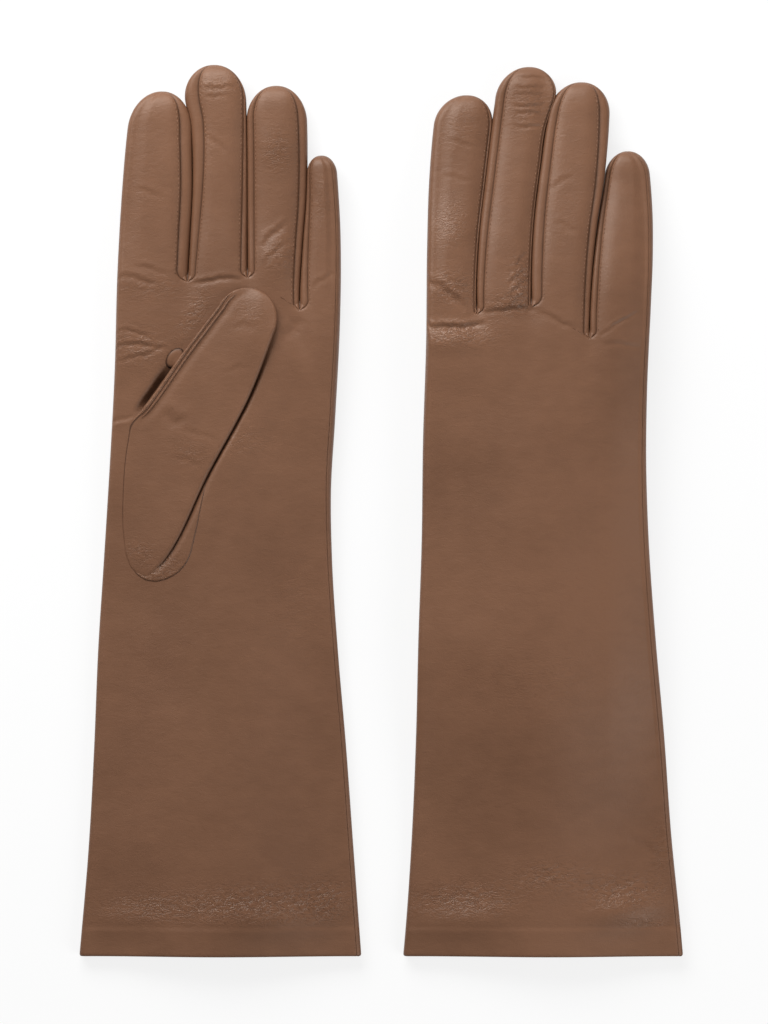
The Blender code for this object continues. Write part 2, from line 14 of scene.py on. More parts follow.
# %% The frame
import math
from typing import NamedTuple

import bmesh
import bpy
import numpy as np
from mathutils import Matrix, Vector
from mathutils.kdtree import KDTree


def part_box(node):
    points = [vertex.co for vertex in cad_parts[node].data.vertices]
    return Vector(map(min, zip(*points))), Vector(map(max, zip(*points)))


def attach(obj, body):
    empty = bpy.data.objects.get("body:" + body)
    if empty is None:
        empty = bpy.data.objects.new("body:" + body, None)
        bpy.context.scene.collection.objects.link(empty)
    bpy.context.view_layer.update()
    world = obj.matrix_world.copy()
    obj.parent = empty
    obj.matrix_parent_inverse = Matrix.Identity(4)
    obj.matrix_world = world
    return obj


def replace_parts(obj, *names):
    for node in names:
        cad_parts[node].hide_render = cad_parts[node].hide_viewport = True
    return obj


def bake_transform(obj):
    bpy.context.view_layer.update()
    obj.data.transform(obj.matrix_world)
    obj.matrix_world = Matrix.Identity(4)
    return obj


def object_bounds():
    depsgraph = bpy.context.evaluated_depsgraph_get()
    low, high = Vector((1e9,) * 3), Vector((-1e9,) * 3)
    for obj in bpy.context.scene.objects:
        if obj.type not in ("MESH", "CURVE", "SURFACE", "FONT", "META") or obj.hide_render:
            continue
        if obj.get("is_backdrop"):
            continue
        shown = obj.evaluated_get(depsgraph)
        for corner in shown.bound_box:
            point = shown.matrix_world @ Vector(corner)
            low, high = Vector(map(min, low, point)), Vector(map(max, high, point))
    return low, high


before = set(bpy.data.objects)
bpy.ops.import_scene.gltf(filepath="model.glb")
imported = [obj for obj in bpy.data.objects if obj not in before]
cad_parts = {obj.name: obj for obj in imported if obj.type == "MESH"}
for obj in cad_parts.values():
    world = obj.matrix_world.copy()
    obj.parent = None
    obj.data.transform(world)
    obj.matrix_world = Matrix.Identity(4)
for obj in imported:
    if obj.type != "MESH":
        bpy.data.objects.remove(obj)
cad_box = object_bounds()

# %% [markdown]
# ## The plan of each glove
#
# A glover cuts from a flat pattern, so each glove starts here as a plan: how its two edges run from the
# hem to the fingertips, and where the fingers part. Across is measured from the glove's middle and height
# from its hem, both in millimetres. Each line has only the points that its bends need, and a smooth curve
# is drawn through them. The same pattern could be traced from an image, but a few measured points are
# easier to correct.

# %% Measures and curves
MM = 0.001
GLOVE_LENGTH = 350.0
FINGERS = ("index", "middle", "ring", "little")


def ease(low, high, value):
    """A smooth rise from 0 at low to 1 at high."""
    share = np.clip((np.asarray(value, float) - low) / (high - low), 0.0, 1.0)
    return share * share * (3 - 2 * share)


def smooth_line(points):
    """A smooth curve through (place, value) points, held level beyond its ends."""
    marks, values = np.array(points, float).T
    slopes = np.gradient(values, marks)

    def at(place):
        held = np.clip(place, marks[0], marks[-1])
        left = np.clip(np.searchsorted(marks, held, side="right") - 1, 0, len(marks) - 2)
        span = marks[left + 1] - marks[left]
        share = (held - marks[left]) / span
        lead = slopes[left] * share * (1 - share) ** 2 - slopes[left + 1] * share**2 * (1 - share)
        return values[left] + (values[left + 1] - values[left]) * ease(0, 1, share) + span * lead

    return at


class Fork(NamedTuple):
    """The slot between two fingers: the heights of its bottom on the upper and the lower skin, the line where
    the fingers meet, and the widths of the left and the right finger's side strip, each at the slot's bottom
    and at its top."""

    upper: float
    lower: float
    crack: list
    left_band: tuple
    right_band: tuple


class Tip(NamedTuple):
    """A fingertip: its height, and where its left and right sides head above the neighbouring fingers."""

    height: float
    left: list
    right: list


class Plan(NamedTuple):
    """One glove: which way up it lies, where its middle is, its two edges, its forks and its fingertips."""

    side: str
    palm_up: bool
    centre: float
    index_edge: list
    little_edge: list
    forks: tuple
    tips: tuple


GLOVE_CENTRES = [sum(corner.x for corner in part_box(f"{side}_trank")) / 2 / MM for side in ("left", "right")]
print("middles of the gloves:", [round(x, 1) for x in GLOVE_CENTRES], "mm")

# %% The two plans
LEFT = Plan(
    "left",
    True,
    GLOVE_CENTRES[0],
    [(0, -55.3), (46, -51.5), (84, -49.5), (121, -48.0), (159, -45.6), (196, -43.3), (234, -41.3),
     (272, -40.2), (300, -38.6), (319, -37.0), (340, -34.5)],
    [(0, 55.5), (46, 52.2), (84, 49.5), (121, 46.4), (159, 44.0), (187, 43.6), (215, 45.2), (253, 47.1),
     (272, 47.5), (290, 47.2), (300, 46.6), (315, 45.4)],
    (
        Fork(265.0, 254.5, [(255, -12.9), (266, -12.6), (283, -11.8), (304, -10.8), (320, -11.0)],
             (4.4, 4.8), (3.0, 6.0)),
        Fork(266.6, 255.5, [(255, 11.2), (268, 10.9), (298, 10.7), (318, 10.6), (330, 10.4)],
             (2.7, 0.9), (2.8, 2.8)),
        Fork(253.9, 243.5, [(243, 31.6), (262, 31.3), (280, 32.4), (297, 33.8)],
             (2.4, 3.6), (3.5, 0.9)),
    ),
    (
        Tip(339.6, [], [(340, -11.2)]),
        Tip(350.0, [(328, -11.7), (336, -13.5), (343, -14.4), (350, -14.6)], [(350, 9.8)]),
        Tip(341.8, [(342, 10.6)], [(320, 34.3), (342, 33.6)]),
        Tip(314.4, [(314, 34.4)], []),
    ),
)
RIGHT = Plan(
    "right",
    False,
    GLOVE_CENTRES[1],
    [(0, -54.9), (10, -54.0), (46, -51.5), (84, -49.9), (121, -49.0), (159, -47.7), (196, -47.2),
     (234, -46.0), (272, -45.6), (300, -44.8), (318, -43.6), (338, -41.5)],
    [(0, 55.1), (10, 54.2), (46, 50.5), (84, 47.6), (121, 44.1), (159, 41.3), (187, 40.3), (215, 40.5),
     (253, 42.1), (272, 42.9), (290, 42.9), (304, 42.1), (316, 40.9)],
    (
        Fork(251.9, 266.0, [(241, -26.0), (262, -26.3), (281, -25.2), (304, -22.5), (325, -20.0)],
             (1.0, 1.4), (2.9, 3.4)),
        Fork(254.7, 267.0, [(244, -5.0), (266, -5.0), (289, -3.7), (311, -1.0), (324, 0.8)],
             (0.9, 0.9), (4.4, 3.6)),
        Fork(242.5, 255.0, [(231, 17.5), (254, 18.2), (285, 21.0), (304, 24.0)],
             (2.4, 4.2), (2.6, 1.7)),
    ),
    (
        Tip(338.1, [], [(338, -18.6)]),
        Tip(349.2, [(338, -18.4), (349, -17.4)], [(340, 5.6), (349, 6.5)]),
        Tip(343.2, [(333, 2.4), (343, 3.6)], [(318, 25.4), (343, 26.6)]),
        Tip(316.1, [(316, 26.0)], []),
    ),
)
PLANS = (LEFT, RIGHT)
for plan in PLANS:
    print(plan.side, "fingertips at", [tip.height for tip in plan.tips], "mm")

# %% Lines of a plan
LANE_BEND = 14.0
FINGER_PRESS = 0.1
TIP_ROUNDNESS = 1.12
EDGE_ROLL = 3.4
LOWER_BAND = (2.6, 2.6)
BAND_LIMIT = 0.42
TIP_BAND_TAPER = 0.8
PRESS_REACH = 5.0


def glove_width(plan, height):
    """The places of the index edge and of the little finger's edge."""
    return smooth_line(plan.index_edge)(height), smooth_line(plan.little_edge)(height)


def lane(plan, number, height, top=()):
    """The line to the left of finger number: an edge, or the crack between two fingers. Below the fork the
    crack's line spreads in proportion to the hand's width."""
    if number == 0:
        return smooth_line(plan.index_edge)(height)
    if number == len(FINGERS):
        return smooth_line(plan.little_edge)(height)
    fork = plan.forks[number - 1]
    crack = smooth_line([*fork.crack, *top])
    low, high = glove_width(plan, fork.upper)
    share = (crack(fork.upper) - low) / (high - low)
    low, high = glove_width(plan, height)
    spread = low + share * (high - low)
    foot = min(fork.upper, fork.lower)
    return spread + (crack(height) - spread) * ease(foot - LANE_BEND, foot, height)


def finger_starts(plan, number, face):
    """The heights at which a finger's strip leaves the hand, at its left and at its right."""
    forks = plan.forks
    bottoms = [fork.upper if face == "upper" else fork.lower for fork in forks]
    return bottoms[max(0, number - 1)], bottoms[min(len(forks) - 1, number)]


def outline(plan, number, height, reach):
    """A finger's left and right outline, and how far past the start of its round tip a place is."""
    tip = plan.tips[number]
    press = FINGER_PRESS * ease(0, PRESS_REACH, reach)
    left = lane(plan, number, height, tip.left) - (press if number else 0)
    right = lane(plan, number + 1, height, tip.right) + (press if number < len(FINGERS) - 1 else 0)
    middle, half = (left + right) / 2, (right - left) / 2
    body = tip.height - TIP_ROUNDNESS * half
    past = np.clip((height - body) / (tip.height - body), 0, 1)
    closed = np.sqrt(1 - past**2)
    return middle - half * closed, middle + half * closed, past


def band(widths, reach, length):
    """The width of a finger's side strip: a round bottom, then a steady change towards the tip."""
    low, high = widths
    round_part = np.sqrt(np.clip(low**2 - np.clip(low - reach, 0, low) ** 2, 0, None))
    return round_part + (high - low) * np.clip((reach - low) / (length - low), 0, 1)


def side_bands(plan, number, face):
    """The widths of the side strips at a finger's left and right. An outer edge is a plain roll."""
    left = plan.forks[number - 1].right_band if number else None
    right = plan.forks[number].left_band if number < len(FINGERS) - 1 else None
    if face == "lower":
        left, right = (LOWER_BAND if widths else None for widths in (left, right))
    return left, right


def seams(plan, number, height, reach, face):
    """Where a finger's strip ends at its left and right, and how far into its round tip it is."""
    left, right, past = outline(plan, number, height, reach)
    limit = BAND_LIMIT * (right - left)
    length = plan.tips[number].height - max(finger_starts(plan, number, face))
    insets = []
    for widths in side_bands(plan, number, face):
        wide = EDGE_ROLL if widths is None else band(widths, reach, length) * (1 - TIP_BAND_TAPER * past**2)
        insets.append(np.minimum(wide, limit))
    return left + insets[0], right - insets[1], past


for plan in PLANS:
    low, high = glove_width(plan, 0)
    print(plan.side, "hem", round(float(high - low), 1), "mm wide")

# %% [markdown]
# ## How the leather lies
#
# An empty glove is two skins with a little air between them. It is fullest along the middle, thin at the
# hem's edges, and each finger has its own low crown. The right-hand glove is held up by the thumb that
# lies under it. Small creases cross the palm and the roots of the fingers, where a hand has bent them.
# Each crease is a short groove with a low ridge on one side. They could be painted as a texture, but as
# real relief they catch the light from every side.

# %% Creases
class Crease(NamedTuple):
    """A crease from one (across, height) place to another, bowed sideways, with its depth and its width."""

    start: tuple
    end: tuple
    depth: float
    width: float
    bow: float = 0.0


CREASE_WOBBLE = 0.22
RIDGE_SHARE = 0.55
RIDGE_OFFSET = 1.7
LEFT_CREASES = [
    Crease((-11.6, 263.2), (9.2, 265.8), 0.50, 1.0, 0.8),
    Crease((-41.0, 239.8), (-20.5, 238.0), 0.38, 0.9, 0.8),
    Crease((-40.0, 233.5), (-22.0, 238.5), 0.30, 0.9, -0.6),
    Crease((-39.5, 246.0), (-27.0, 242.5), 0.26, 0.8, 0.4),
    Crease((-40.0, 267.0), (-24.0, 262.5), 0.32, 1.1, 0.8),
    Crease((-34.0, 271.0), (-19.0, 266.5), 0.22, 1.0, 0.6),
    Crease((16.6, 278.0), (27.6, 288.0), 0.42, 1.2, 0.8),
    Crease((17.4, 271.0), (27.0, 280.0), 0.26, 1.0, 0.8),
    Crease((-7.0, 340.4), (6.4, 341.4), 0.30, 0.8, -0.5),
    Crease((-6.5, 337.2), (3.0, 337.8), 0.20, 0.8, -0.4),
    Crease((-33.0, 301.0), (-22.0, 297.0), 0.16, 1.2, 0.5),
    Crease((-6.0, 322.0), (3.0, 315.0), 0.18, 1.1, 0.5),
    Crease((-33.0, 212.5), (-45.0, 209.0), 0.34, 0.8, 0.4),
    Crease((36.5, 262.0), (45.5, 268.0), 0.20, 1.1, 0.5),
    Crease((24.0, 240.0), (33.0, 250.0), 0.30, 2.2, 0.8),
]
RIGHT_CREASES = [
    Crease((-46.0, 246.4), (-22.5, 247.6), 0.75, 1.1, -0.6),
    Crease((-24.8, 251.6), (-2.1, 253.4), 0.50, 1.0, 0.8),
    Crease((21.8, 243.0), (37.4, 252.7), 0.34, 0.7, 0.4),
    Crease((-44.8, 264.5), (-30.5, 253.0), 0.60, 1.5, 0.8),
    Crease((-14.0, 262.5), (-7.0, 269.0), 0.34, 0.7, 0.4),
    Crease((-13.0, 259.0), (-6.6, 264.4), 0.34, 0.7, 0.4),
    Crease((-12.0, 256.0), (-6.0, 259.6), 0.30, 0.7, 0.4),
    Crease((-11.0, 269.5), (-6.4, 276.0), 0.26, 0.7, 0.4),
    Crease((-2.0, 253.0), (14.0, 245.4), 0.34, 1.2, -0.8),
    Crease((22.0, 240.0), (38.0, 238.4), 0.20, 1.0, 0.5),
    Crease((-38.0, 320.0), (-25.0, 316.0), 0.18, 1.0, 0.5),
    Crease((-40.0, 306.0), (-28.0, 303.0), 0.16, 1.0, 0.5),
    Crease((2.0, 300.0), (12.0, 306.0), 0.18, 1.1, 0.5),
    Crease((4.0, 288.0), (13.0, 283.0), 0.18, 1.1, 0.5),
    Crease((33.0, 46.0), (45.0, 40.0), 0.40, 1.2, 0.6),
]
TIP_WRINKLE_HEIGHTS = (344.0, 341.0, 337.4, 333.8, 330.0, 325.8)
for step, wrinkle_height in enumerate(TIP_WRINKLE_HEIGHTS):
    swing = (-1) ** step
    wrinkle_start = (-11.5, wrinkle_height + 0.4 * swing)
    wrinkle_end = (1.5 - 0.4 * step, wrinkle_height)
    RIGHT_CREASES.append(Crease(wrinkle_start, wrinkle_end, 0.42, 0.7, 0.5 * swing))
CREASES = {"left": LEFT_CREASES, "right": RIGHT_CREASES}


def crease_relief(crease, across, height):
    """How far a crease lifts or sinks the leather at a place."""
    start, end = np.array(crease.start), np.array(crease.end)
    along = end - start
    length = math.hypot(*along)
    unit = along / length
    share = ((across - start[0]) * unit[0] + (height - start[1]) * unit[1]) / length
    waves = np.sin(11 * share + start[0]) + 0.6 * np.sin(27 * share + start[1])
    bow = crease.bow * 4 * share * (1 - share) + CREASE_WOBBLE * crease.width * waves
    off = (height - start[1]) * unit[0] - (across - start[0]) * unit[1] - bow
    fade = np.sin(np.pi * np.clip(share, 0, 1)) ** 0.6
    groove = np.exp(-((off / crease.width) ** 2))
    ridge = RIDGE_SHARE * np.exp(-((off / crease.width - RIDGE_OFFSET) ** 2))
    return crease.depth * fade * (ridge - groove)


print("creases:", {side: len(found) for side, found in CREASES.items()})

# %% Soft swells and the hem
class Swell(NamedTuple):
    """A soft rise or hollow: its (across, height) place, its two radii, its rise and its turn in degrees."""

    place: tuple
    radii: tuple
    rise: float
    turn: float = 0.0


SWELLS = {
    "left": [
        Swell((-30.0, 285.0), (9.0, 30.0), 0.35),
        Swell((24.0, 300.0), (7.0, 12.0), 0.35),
        Swell((-27.0, 250.0), (16.0, 9.0), 0.45),
        Swell((28.0, 246.0), (5.0, 14.0), -1.3, 35.0),
        Swell((21.5, 274.0), (6.0, 8.0), 0.9),
        Swell((21.0, 319.0), (6.0, 9.0), 0.6),
        Swell((5.0, 331.0), (6.0, 8.0), 0.5),
        Swell((40.5, 301.0), (4.0, 7.0), 0.5),
        Swell((-22.5, 227.0), (3.0, 12.0), -0.9, -33.0),
        Swell((18.0, 14.0), (22.0, 7.0), 1.8),
        Swell((-38.0, 14.0), (14.0, 6.0), 0.9),
        Swell((44.0, 22.0), (7.0, 6.0), 0.6),
    ],
    "right": [
        Swell((-31.0, 232.0), (15.0, 10.0), 1.1),
        Swell((-36.0, 240.5), (14.0, 4.5), 1.3),
        Swell((-36.0, 282.0), (7.0, 9.0), 0.9),
        Swell((-33.0, 322.0), (7.0, 8.0), 0.6),
        Swell((-12.0, 251.0), (12.0, 3.0), -0.4),
        Swell((-11.0, 260.0), (7.0, 6.0), 0.7),
        Swell((31.0, 18.0), (15.0, 6.5), 2.7, 8.0),
        Swell((-30.0, 14.0), (20.0, 6.5), 1.7, 6.0),
        Swell((4.0, 26.0), (12.0, 5.0), 0.4),
    ],
}
# Each wave: its size, its turns across and up a millimetre, and its phase.
UNDULATIONS = (
    (0.20, 0.045, 0.032, 0.4),
    (0.16, -0.071, 0.054, 1.9),
    (0.12, 0.110, 0.083, 3.3),
    (0.08, -0.034, 0.171, 5.1),
    (0.05, 0.093, 0.229, 0.9),
)
HEM_DEPTH = 11.5
HEM_RISE = 0.28
HEM_STEP = 1.4
HEM_GROOVE = 0.16


def swell_relief(swell, across, height):
    """How far a swell lifts the leather at a place."""
    turn = math.radians(swell.turn)
    right, up = across - swell.place[0], height - swell.place[1]
    first = (right * math.cos(turn) + up * math.sin(turn)) / swell.radii[0]
    second = (up * math.cos(turn) - right * math.sin(turn)) / swell.radii[1]
    return swell.rise * np.exp(-(first**2) - second**2)


def relief(plan, across, height):
    """How far the leather stands above or below its smooth form."""
    total = np.zeros(np.broadcast(across, height).shape)
    for crease in CREASES[plan.side]:
        total = total + crease_relief(crease, across, height)
    for swell in SWELLS[plan.side]:
        total = total + swell_relief(swell, across, height)
    for size, turns_across, turns_up, phase in UNDULATIONS:
        total = total + size * np.sin(turns_across * across + turns_up * height + phase * (2 - plan.palm_up))
    hem = HEM_RISE * (1 - ease(HEM_DEPTH - HEM_STEP, HEM_DEPTH + HEM_STEP, height))
    groove = HEM_GROOVE * np.exp(-(((height - HEM_DEPTH) / (HEM_STEP / 2)) ** 2))
    return total + hem - groove


print("swells:", {side: len(found) for side, found in SWELLS.items()})

# %% [markdown]
# ### Where the thumb lies
#
# On the palm the thumb folds flat, like a leaf. Its place is worked out here, before the palm's own skin,
# because the palm gives way to it: the leather banks up beside the thumb's right fold, and sinks into a
# dark slit beside its left edge, where a small gusset is let in.

# %% The thumb's outline
THUMB_PIVOT = {"left": (-29.5, 162.0), "right": (-32.9, 162.0)}
THUMB_SLANT = math.radians(23.7)
THUMB_HEEL = -13.1
THUMB_LEFT = smooth_line([
    (THUMB_HEEL, 5.6), (-12.9, 3.7), (-12.4, 1.7), (-11.4, -0.5), (-8.6, -3.8), (-1.2, -8.7), (14.7, -16.0),
    (34, -22.4), (41, -23.8), (48, -21.6), (77, -15.4), (97, -10.6),
])
THUMB_RIGHT = smooth_line([(THUMB_HEEL, 5.8), (-11, 7.2), (-6, 8.9), (36, 12.0), (70, 14.5), (97, 13.4)])
THUMB_TIP, THUMB_TIP_ROUND = 109.0, 12.5


def thumb_outline(along):
    """The leaf's left and right edge and how far into its round tip a place is."""
    left, right = THUMB_LEFT(along), THUMB_RIGHT(along)
    middle, half = (left + right) / 2, (right - left) / 2
    past = np.clip((along - THUMB_TIP + THUMB_TIP_ROUND) / THUMB_TIP_ROUND, 0, 1)
    closed = np.sqrt(1 - past**2)
    return middle - half * closed, middle + half * closed, past


def thumb_to_plan(plan, across, along):
    """A place on the thumb, measured across and along its own axis, in the glove's plan."""
    pivot = THUMB_PIVOT[plan.side]
    return (
        pivot[0] + across * math.cos(THUMB_SLANT) + along * math.sin(THUMB_SLANT),
        pivot[1] + along * math.cos(THUMB_SLANT) - across * math.sin(THUMB_SLANT),
    )


def plan_to_thumb(plan, across, height):
    """A place in the glove's plan, measured across and along the thumb's axis."""
    right, up = across - THUMB_PIVOT[plan.side][0], height - THUMB_PIVOT[plan.side][1]
    return (
        right * math.cos(THUMB_SLANT) - up * math.sin(THUMB_SLANT),
        right * math.sin(THUMB_SLANT) + up * math.cos(THUMB_SLANT),
    )


print("thumb", round(THUMB_TIP - THUMB_HEEL), "mm long")
print("its slant:", round(math.degrees(THUMB_SLANT), 1), "degrees")

# %% The palm beside the thumb
BANK_RISE = 0.9
BANK_SIDE, BANK_FADE = (-1.0, 2.4), (3, 17)
BANK_START, BANK_END = (-10, 18), (74, 100)
# The crack under the fold is darkened with painted shade.
CRACK_DEPTH, CRACK_SHADE, CRACK_SHARPNESS = 1.3, 0.75, 1.5
CRACK_PLACE = 0.25
CRACK_WIDTH = smooth_line([(-11, 0.5), (0, 0.9), (25, 1.0), (45, 0.7), (90, 0.55)])
CRACK_START, CRACK_END = (-11, -2), (66, 100)
# The slit is darkened with painted shade.
SLIT_DEPTH, SLIT_SHADE, SLIT_WIDTH = 3.0, 0.9, 3.9
SLIT_START, SLIT_END, SLIT_UNDER = (44, 53), (59, 71), (-6, -3)


def bank(plan, across, height):
    """How far the palm rises beside the thumb's fold."""
    off, along = plan_to_thumb(plan, across, height)
    beside = off - THUMB_RIGHT(along)
    rise = BANK_RISE * ease(*BANK_SIDE, beside) * (1 - ease(*BANK_FADE, beside))
    return rise * ease(*BANK_START, along) * (1 - ease(*BANK_END, along)) * plan.palm_up


def fold_crack(plan, across, height):
    """How far the palm sinks under the thumb's fold, and how much shade is painted into that crack."""
    off, along = plan_to_thumb(plan, across, height)
    beside = (off - THUMB_RIGHT(along) - CRACK_PLACE) / CRACK_WIDTH(along)
    part = ease(*CRACK_START, along) * (1 - ease(*CRACK_END, along)) * plan.palm_up
    depth = CRACK_DEPTH * np.exp(-(beside**2)) * part
    return depth, CRACK_SHADE * np.exp(-((CRACK_SHARPNESS * beside) ** 2)) * part


def slit(plan, across, height):
    """How far the palm sinks beside the thumb's left edge, and how much shade is painted into that slit."""
    off, along = plan_to_thumb(plan, across, height)
    beside = THUMB_LEFT(along) - off
    part = ease(*SLIT_START, along) * (1 - ease(*SLIT_END, along)) * ease(*SLIT_UNDER, beside) * plan.palm_up
    depth = SLIT_DEPTH * (1 - ease(0, SLIT_WIDTH, beside))
    return depth * part, SLIT_SHADE * (1 - ease(0, SLIT_WIDTH / 2, beside)) * part


print("depths beside the thumb:", {"bank": -BANK_RISE, "crack": CRACK_DEPTH, "slit": SLIT_DEPTH}, "mm")

# %% Thickness, crowns and the drape
HAND_THICKNESS = 10.0
SIDE_THICKNESS = smooth_line([(0, 5), (185, 7), (243, HAND_THICKNESS)])
FINGER_THINNING, FINGERS_THIN = 0.6, (262, 300)
VALLEY_DEPTH = 1.5
VALLEY_WIDTH = 4.6
VALLEY_FROM, VALLEY_TO = -22.0, 14.0
LIP_DROP = 0.5
LIP_WIDTH = 0.8
TURN_UP = 0.35
THUMB_LIFT = 8.4
DRAPE_RISE = (35.0, 126.5)
DRAPE_SIDE = (24.0, 62.0)
DRAPE_FALL = 256.0
TABLE_CLEARANCE = 0.15


def drape(plan, across, height, tip_height=None):
    """How far the glove is held off the table by a thumb tucked under it."""
    if plan.palm_up:
        return np.full(np.broadcast(across, height).shape, TABLE_CLEARANCE)
    lift = THUMB_LIFT * ease(*DRAPE_RISE, height) * (1 - ease(*DRAPE_SIDE, across))
    if tip_height:
        lift = lift * (1 - ease(DRAPE_FALL, tip_height, height))
    return lift + TABLE_CLEARANCE


def slot_distance(plan, number, across, reach):
    """How far a place is from the stitched edge of the slot to the left of finger number."""
    fork = plan.forks[number - 1]
    off = across - lane(plan, number, fork.upper + reach)
    radius = np.where(off < 0, fork.left_band[0], fork.right_band[0])
    round_part = np.hypot(off, np.clip(radius - reach, 0, None)) - radius
    return np.where(reach < radius, round_part, np.abs(off) - radius)


def upper_height(plan, across, height):
    """The height of the upper skin over the lower one."""
    low, high = glove_width(plan, height)
    share = np.clip((across - low) / (high - low), 0, 1)
    side = SIDE_THICKNESS(height)
    inwards = np.minimum(share, 1 - share)
    thick = side + (HAND_THICKNESS - side) * ease(EDGE_ROLL / (high - low), 0.5, inwards)
    thick = thick - FINGER_THINNING * ease(*FINGERS_THIN, height)
    for number in range(1, len(FINGERS)):
        fork = plan.forks[number - 1]
        ramp = ease(fork.upper + VALLEY_FROM, fork.upper + VALLEY_TO, height)
        off = across - lane(plan, number, height)
        thick = thick - VALLEY_DEPTH * ramp * np.exp(-((off / VALLEY_WIDTH) ** 2))
    return thick + relief(plan, across, height) + bank(plan, across, height)


def lip(distance):
    """How far a stitched edge rolls down, at a distance from it."""
    return LIP_DROP * (1 - np.clip(distance / LIP_WIDTH, 0, 1)) ** 2


print("left wrist", round(float(upper_height(LEFT, 0.0, 170.0)), 1), "mm thick")

# %% [markdown]
# ## Points of a glove
#
# The trank, the one skin that wraps the hand, is laid out as rows and columns. The columns of the hand
# run on into the strips of the fingers, so that the leather has no break where a finger folds. Rows and
# columns stand closer together at the stitched edges and at the fingertips, where the form turns quickly.

# %% Strips and the hand's upper skin
LOWER_CROWN = 0.5
FINGER_CROWN = 0.75
OUTER_FALL = 0.3
CROWN_REACH = 26.0


def crown_fall(number, share):
    """How far a finger's crown has fallen, from 0 along its middle to 1 at its edges. At the glove's own
    edge it levels out."""
    fall = (2 * share - 1) ** 4
    if number == 0:
        fall = np.where(share < 0.5, 1 - ease(0, OUTER_FALL, share), fall)
    if number == len(FINGERS) - 1:
        fall = np.where(share > 0.5, ease(1 - OUTER_FALL, 1, share), fall)
    return fall


def strip_point(plan, number, share, tau, face="upper"):
    """A point of a finger's strip. Share runs from its left seam to its right one, tau from root to tip."""
    left_start, right_start = finger_starts(plan, number, face)
    start = left_start + (right_start - left_start) * share
    tip = plan.tips[number].height
    height = start + (tip - start) * tau
    reach = height - start
    left, right, past = seams(plan, number, height, reach, face)
    across = left + (right - left) * share
    full = HAND_THICKNESS - FINGER_THINNING
    closing = np.sqrt(np.clip(1 - past**3, 0, 1))
    floor = drape(plan, across, height, tip) + TURN_UP * full * (1 - closing)
    if face == "lower":
        return np.stack([across, height, floor + LOWER_CROWN * (2 * share - 1) ** 2 * closing], -1)
    edge = np.full(np.shape(across), np.inf)
    for line, inset in ((number, across - left), (number + 1, right - across)):
        if 0 < line < len(FINGERS):
            fork = plan.forks[line - 1]
            above = height - fork.upper
            straight = above > (fork.right_band if line == number else fork.left_band)[0]
            edge = np.minimum(edge, np.where(straight, inset, slot_distance(plan, line, across, above)))
    crown = FINGER_CROWN * ease(0, CROWN_REACH, reach) * crown_fall(number, share)
    level = upper_height(plan, across, height) - lip(edge) - crown
    return np.stack([across, height, floor + level * closing], -1)


def hand_point(plan, number, share, tau, face="upper"):
    """A point of the hand below a finger: tau runs from the hem to the finger's root."""
    left_start, right_start = finger_starts(plan, number, face)
    start = left_start + (right_start - left_start) * share
    height = start * tau
    left = lane(plan, number, height) + (EDGE_ROLL if number == 0 else 0)
    right = lane(plan, number + 1, height) - (EDGE_ROLL if number == len(FINGERS) - 1 else 0)
    across = left + (right - left) * share
    floor = drape(plan, across, height)
    if face == "lower":
        return np.stack([across, height, floor], -1)
    edge = np.full(np.shape(across), np.inf)
    for line in range(1, len(FINGERS)):
        edge = np.minimum(edge, slot_distance(plan, line, across, height - plan.forks[line - 1].upper))
    sunk = slit(plan, across, height)[0] + fold_crack(plan, across, height)[0]
    level = upper_height(plan, across, height) - lip(edge) - sunk
    return np.stack([across, height, floor + level], -1)


print("crown of a finger:", FINGER_CROWN, "mm")

# %% Rounded edges
ROLL_POWER = 0.72
BULGE_TURN = 0.4
SIDE_SEAM_TURN = 0.113
SIDE_SEAM_SPREAD = 0.006
SIDE_SEAM_DEPTH = 0.30


def roll_shares(turn):
    """How far out and how far down a rounded edge is: a squared-off half circle."""
    angle = np.pi * turn
    side, fall = np.sin(angle), np.cos(angle)
    return np.clip(side, 0, 1) ** ROLL_POWER, (1 - np.sign(fall) * np.abs(fall) ** ROLL_POWER) / 2


def roll_point(top, bottom, out, turn, bulge=0.0, groove=None):
    """A point of the wall between two edges. Turn runs from 0 at the upper one to 1 at the lower one."""
    swing, drop = roll_shares(turn)
    inner = np.where(turn < 0.5, top[..., 0], bottom[..., 0])
    across = inner + (out - inner) * swing
    height = top[..., 1] + (bottom[..., 1] - top[..., 1]) * drop
    level = top[..., 2] + (bottom[..., 2] - top[..., 2]) * drop
    level = level + bulge * np.sin(np.pi * np.clip(turn / BULGE_TURN, 0, 1))
    if groove is not None:
        dip = SIDE_SEAM_DEPTH * np.exp(-(((turn - SIDE_SEAM_TURN) / SIDE_SEAM_SPREAD) ** 2)) * groove
        level = level - dip
    return np.stack([across, height, level], -1)


print("an edge is furthest out at", roll_shares(0.5)[1], "of its fall")

# %% Rows and columns
EDGE_COLUMNS = np.array([0, 0.012, 0.03, 0.055, 0.09])
MIDDLE_COLUMNS = np.linspace(0.125, 0.875, 25)
COLUMNS = np.concatenate([EDGE_COLUMNS, MIDDLE_COLUMNS, 1 - EDGE_COLUMNS[::-1]])
LOWER_COLUMNS = np.linspace(0, 1, 9)
SEAM_TURNS = SIDE_SEAM_TURN + SIDE_SEAM_SPREAD * np.array([-2.0, -1.0, 0.0, 1.0, 2.0])
ROLL_TURNS = np.concatenate([
    [0.0, 0.025, 0.055, 0.08], SEAM_TURNS, [0.15, 0.19, 0.25, 0.33, 0.41, 0.5, 0.62, 0.75, 0.88, 1.0],
])
WALL_TURNS = np.array([0.0, 0.015, 0.04, 0.08, 0.14, 0.21, 0.3, 0.4, 0.5, 0.62, 0.75, 0.88, 0.98, 1.0])
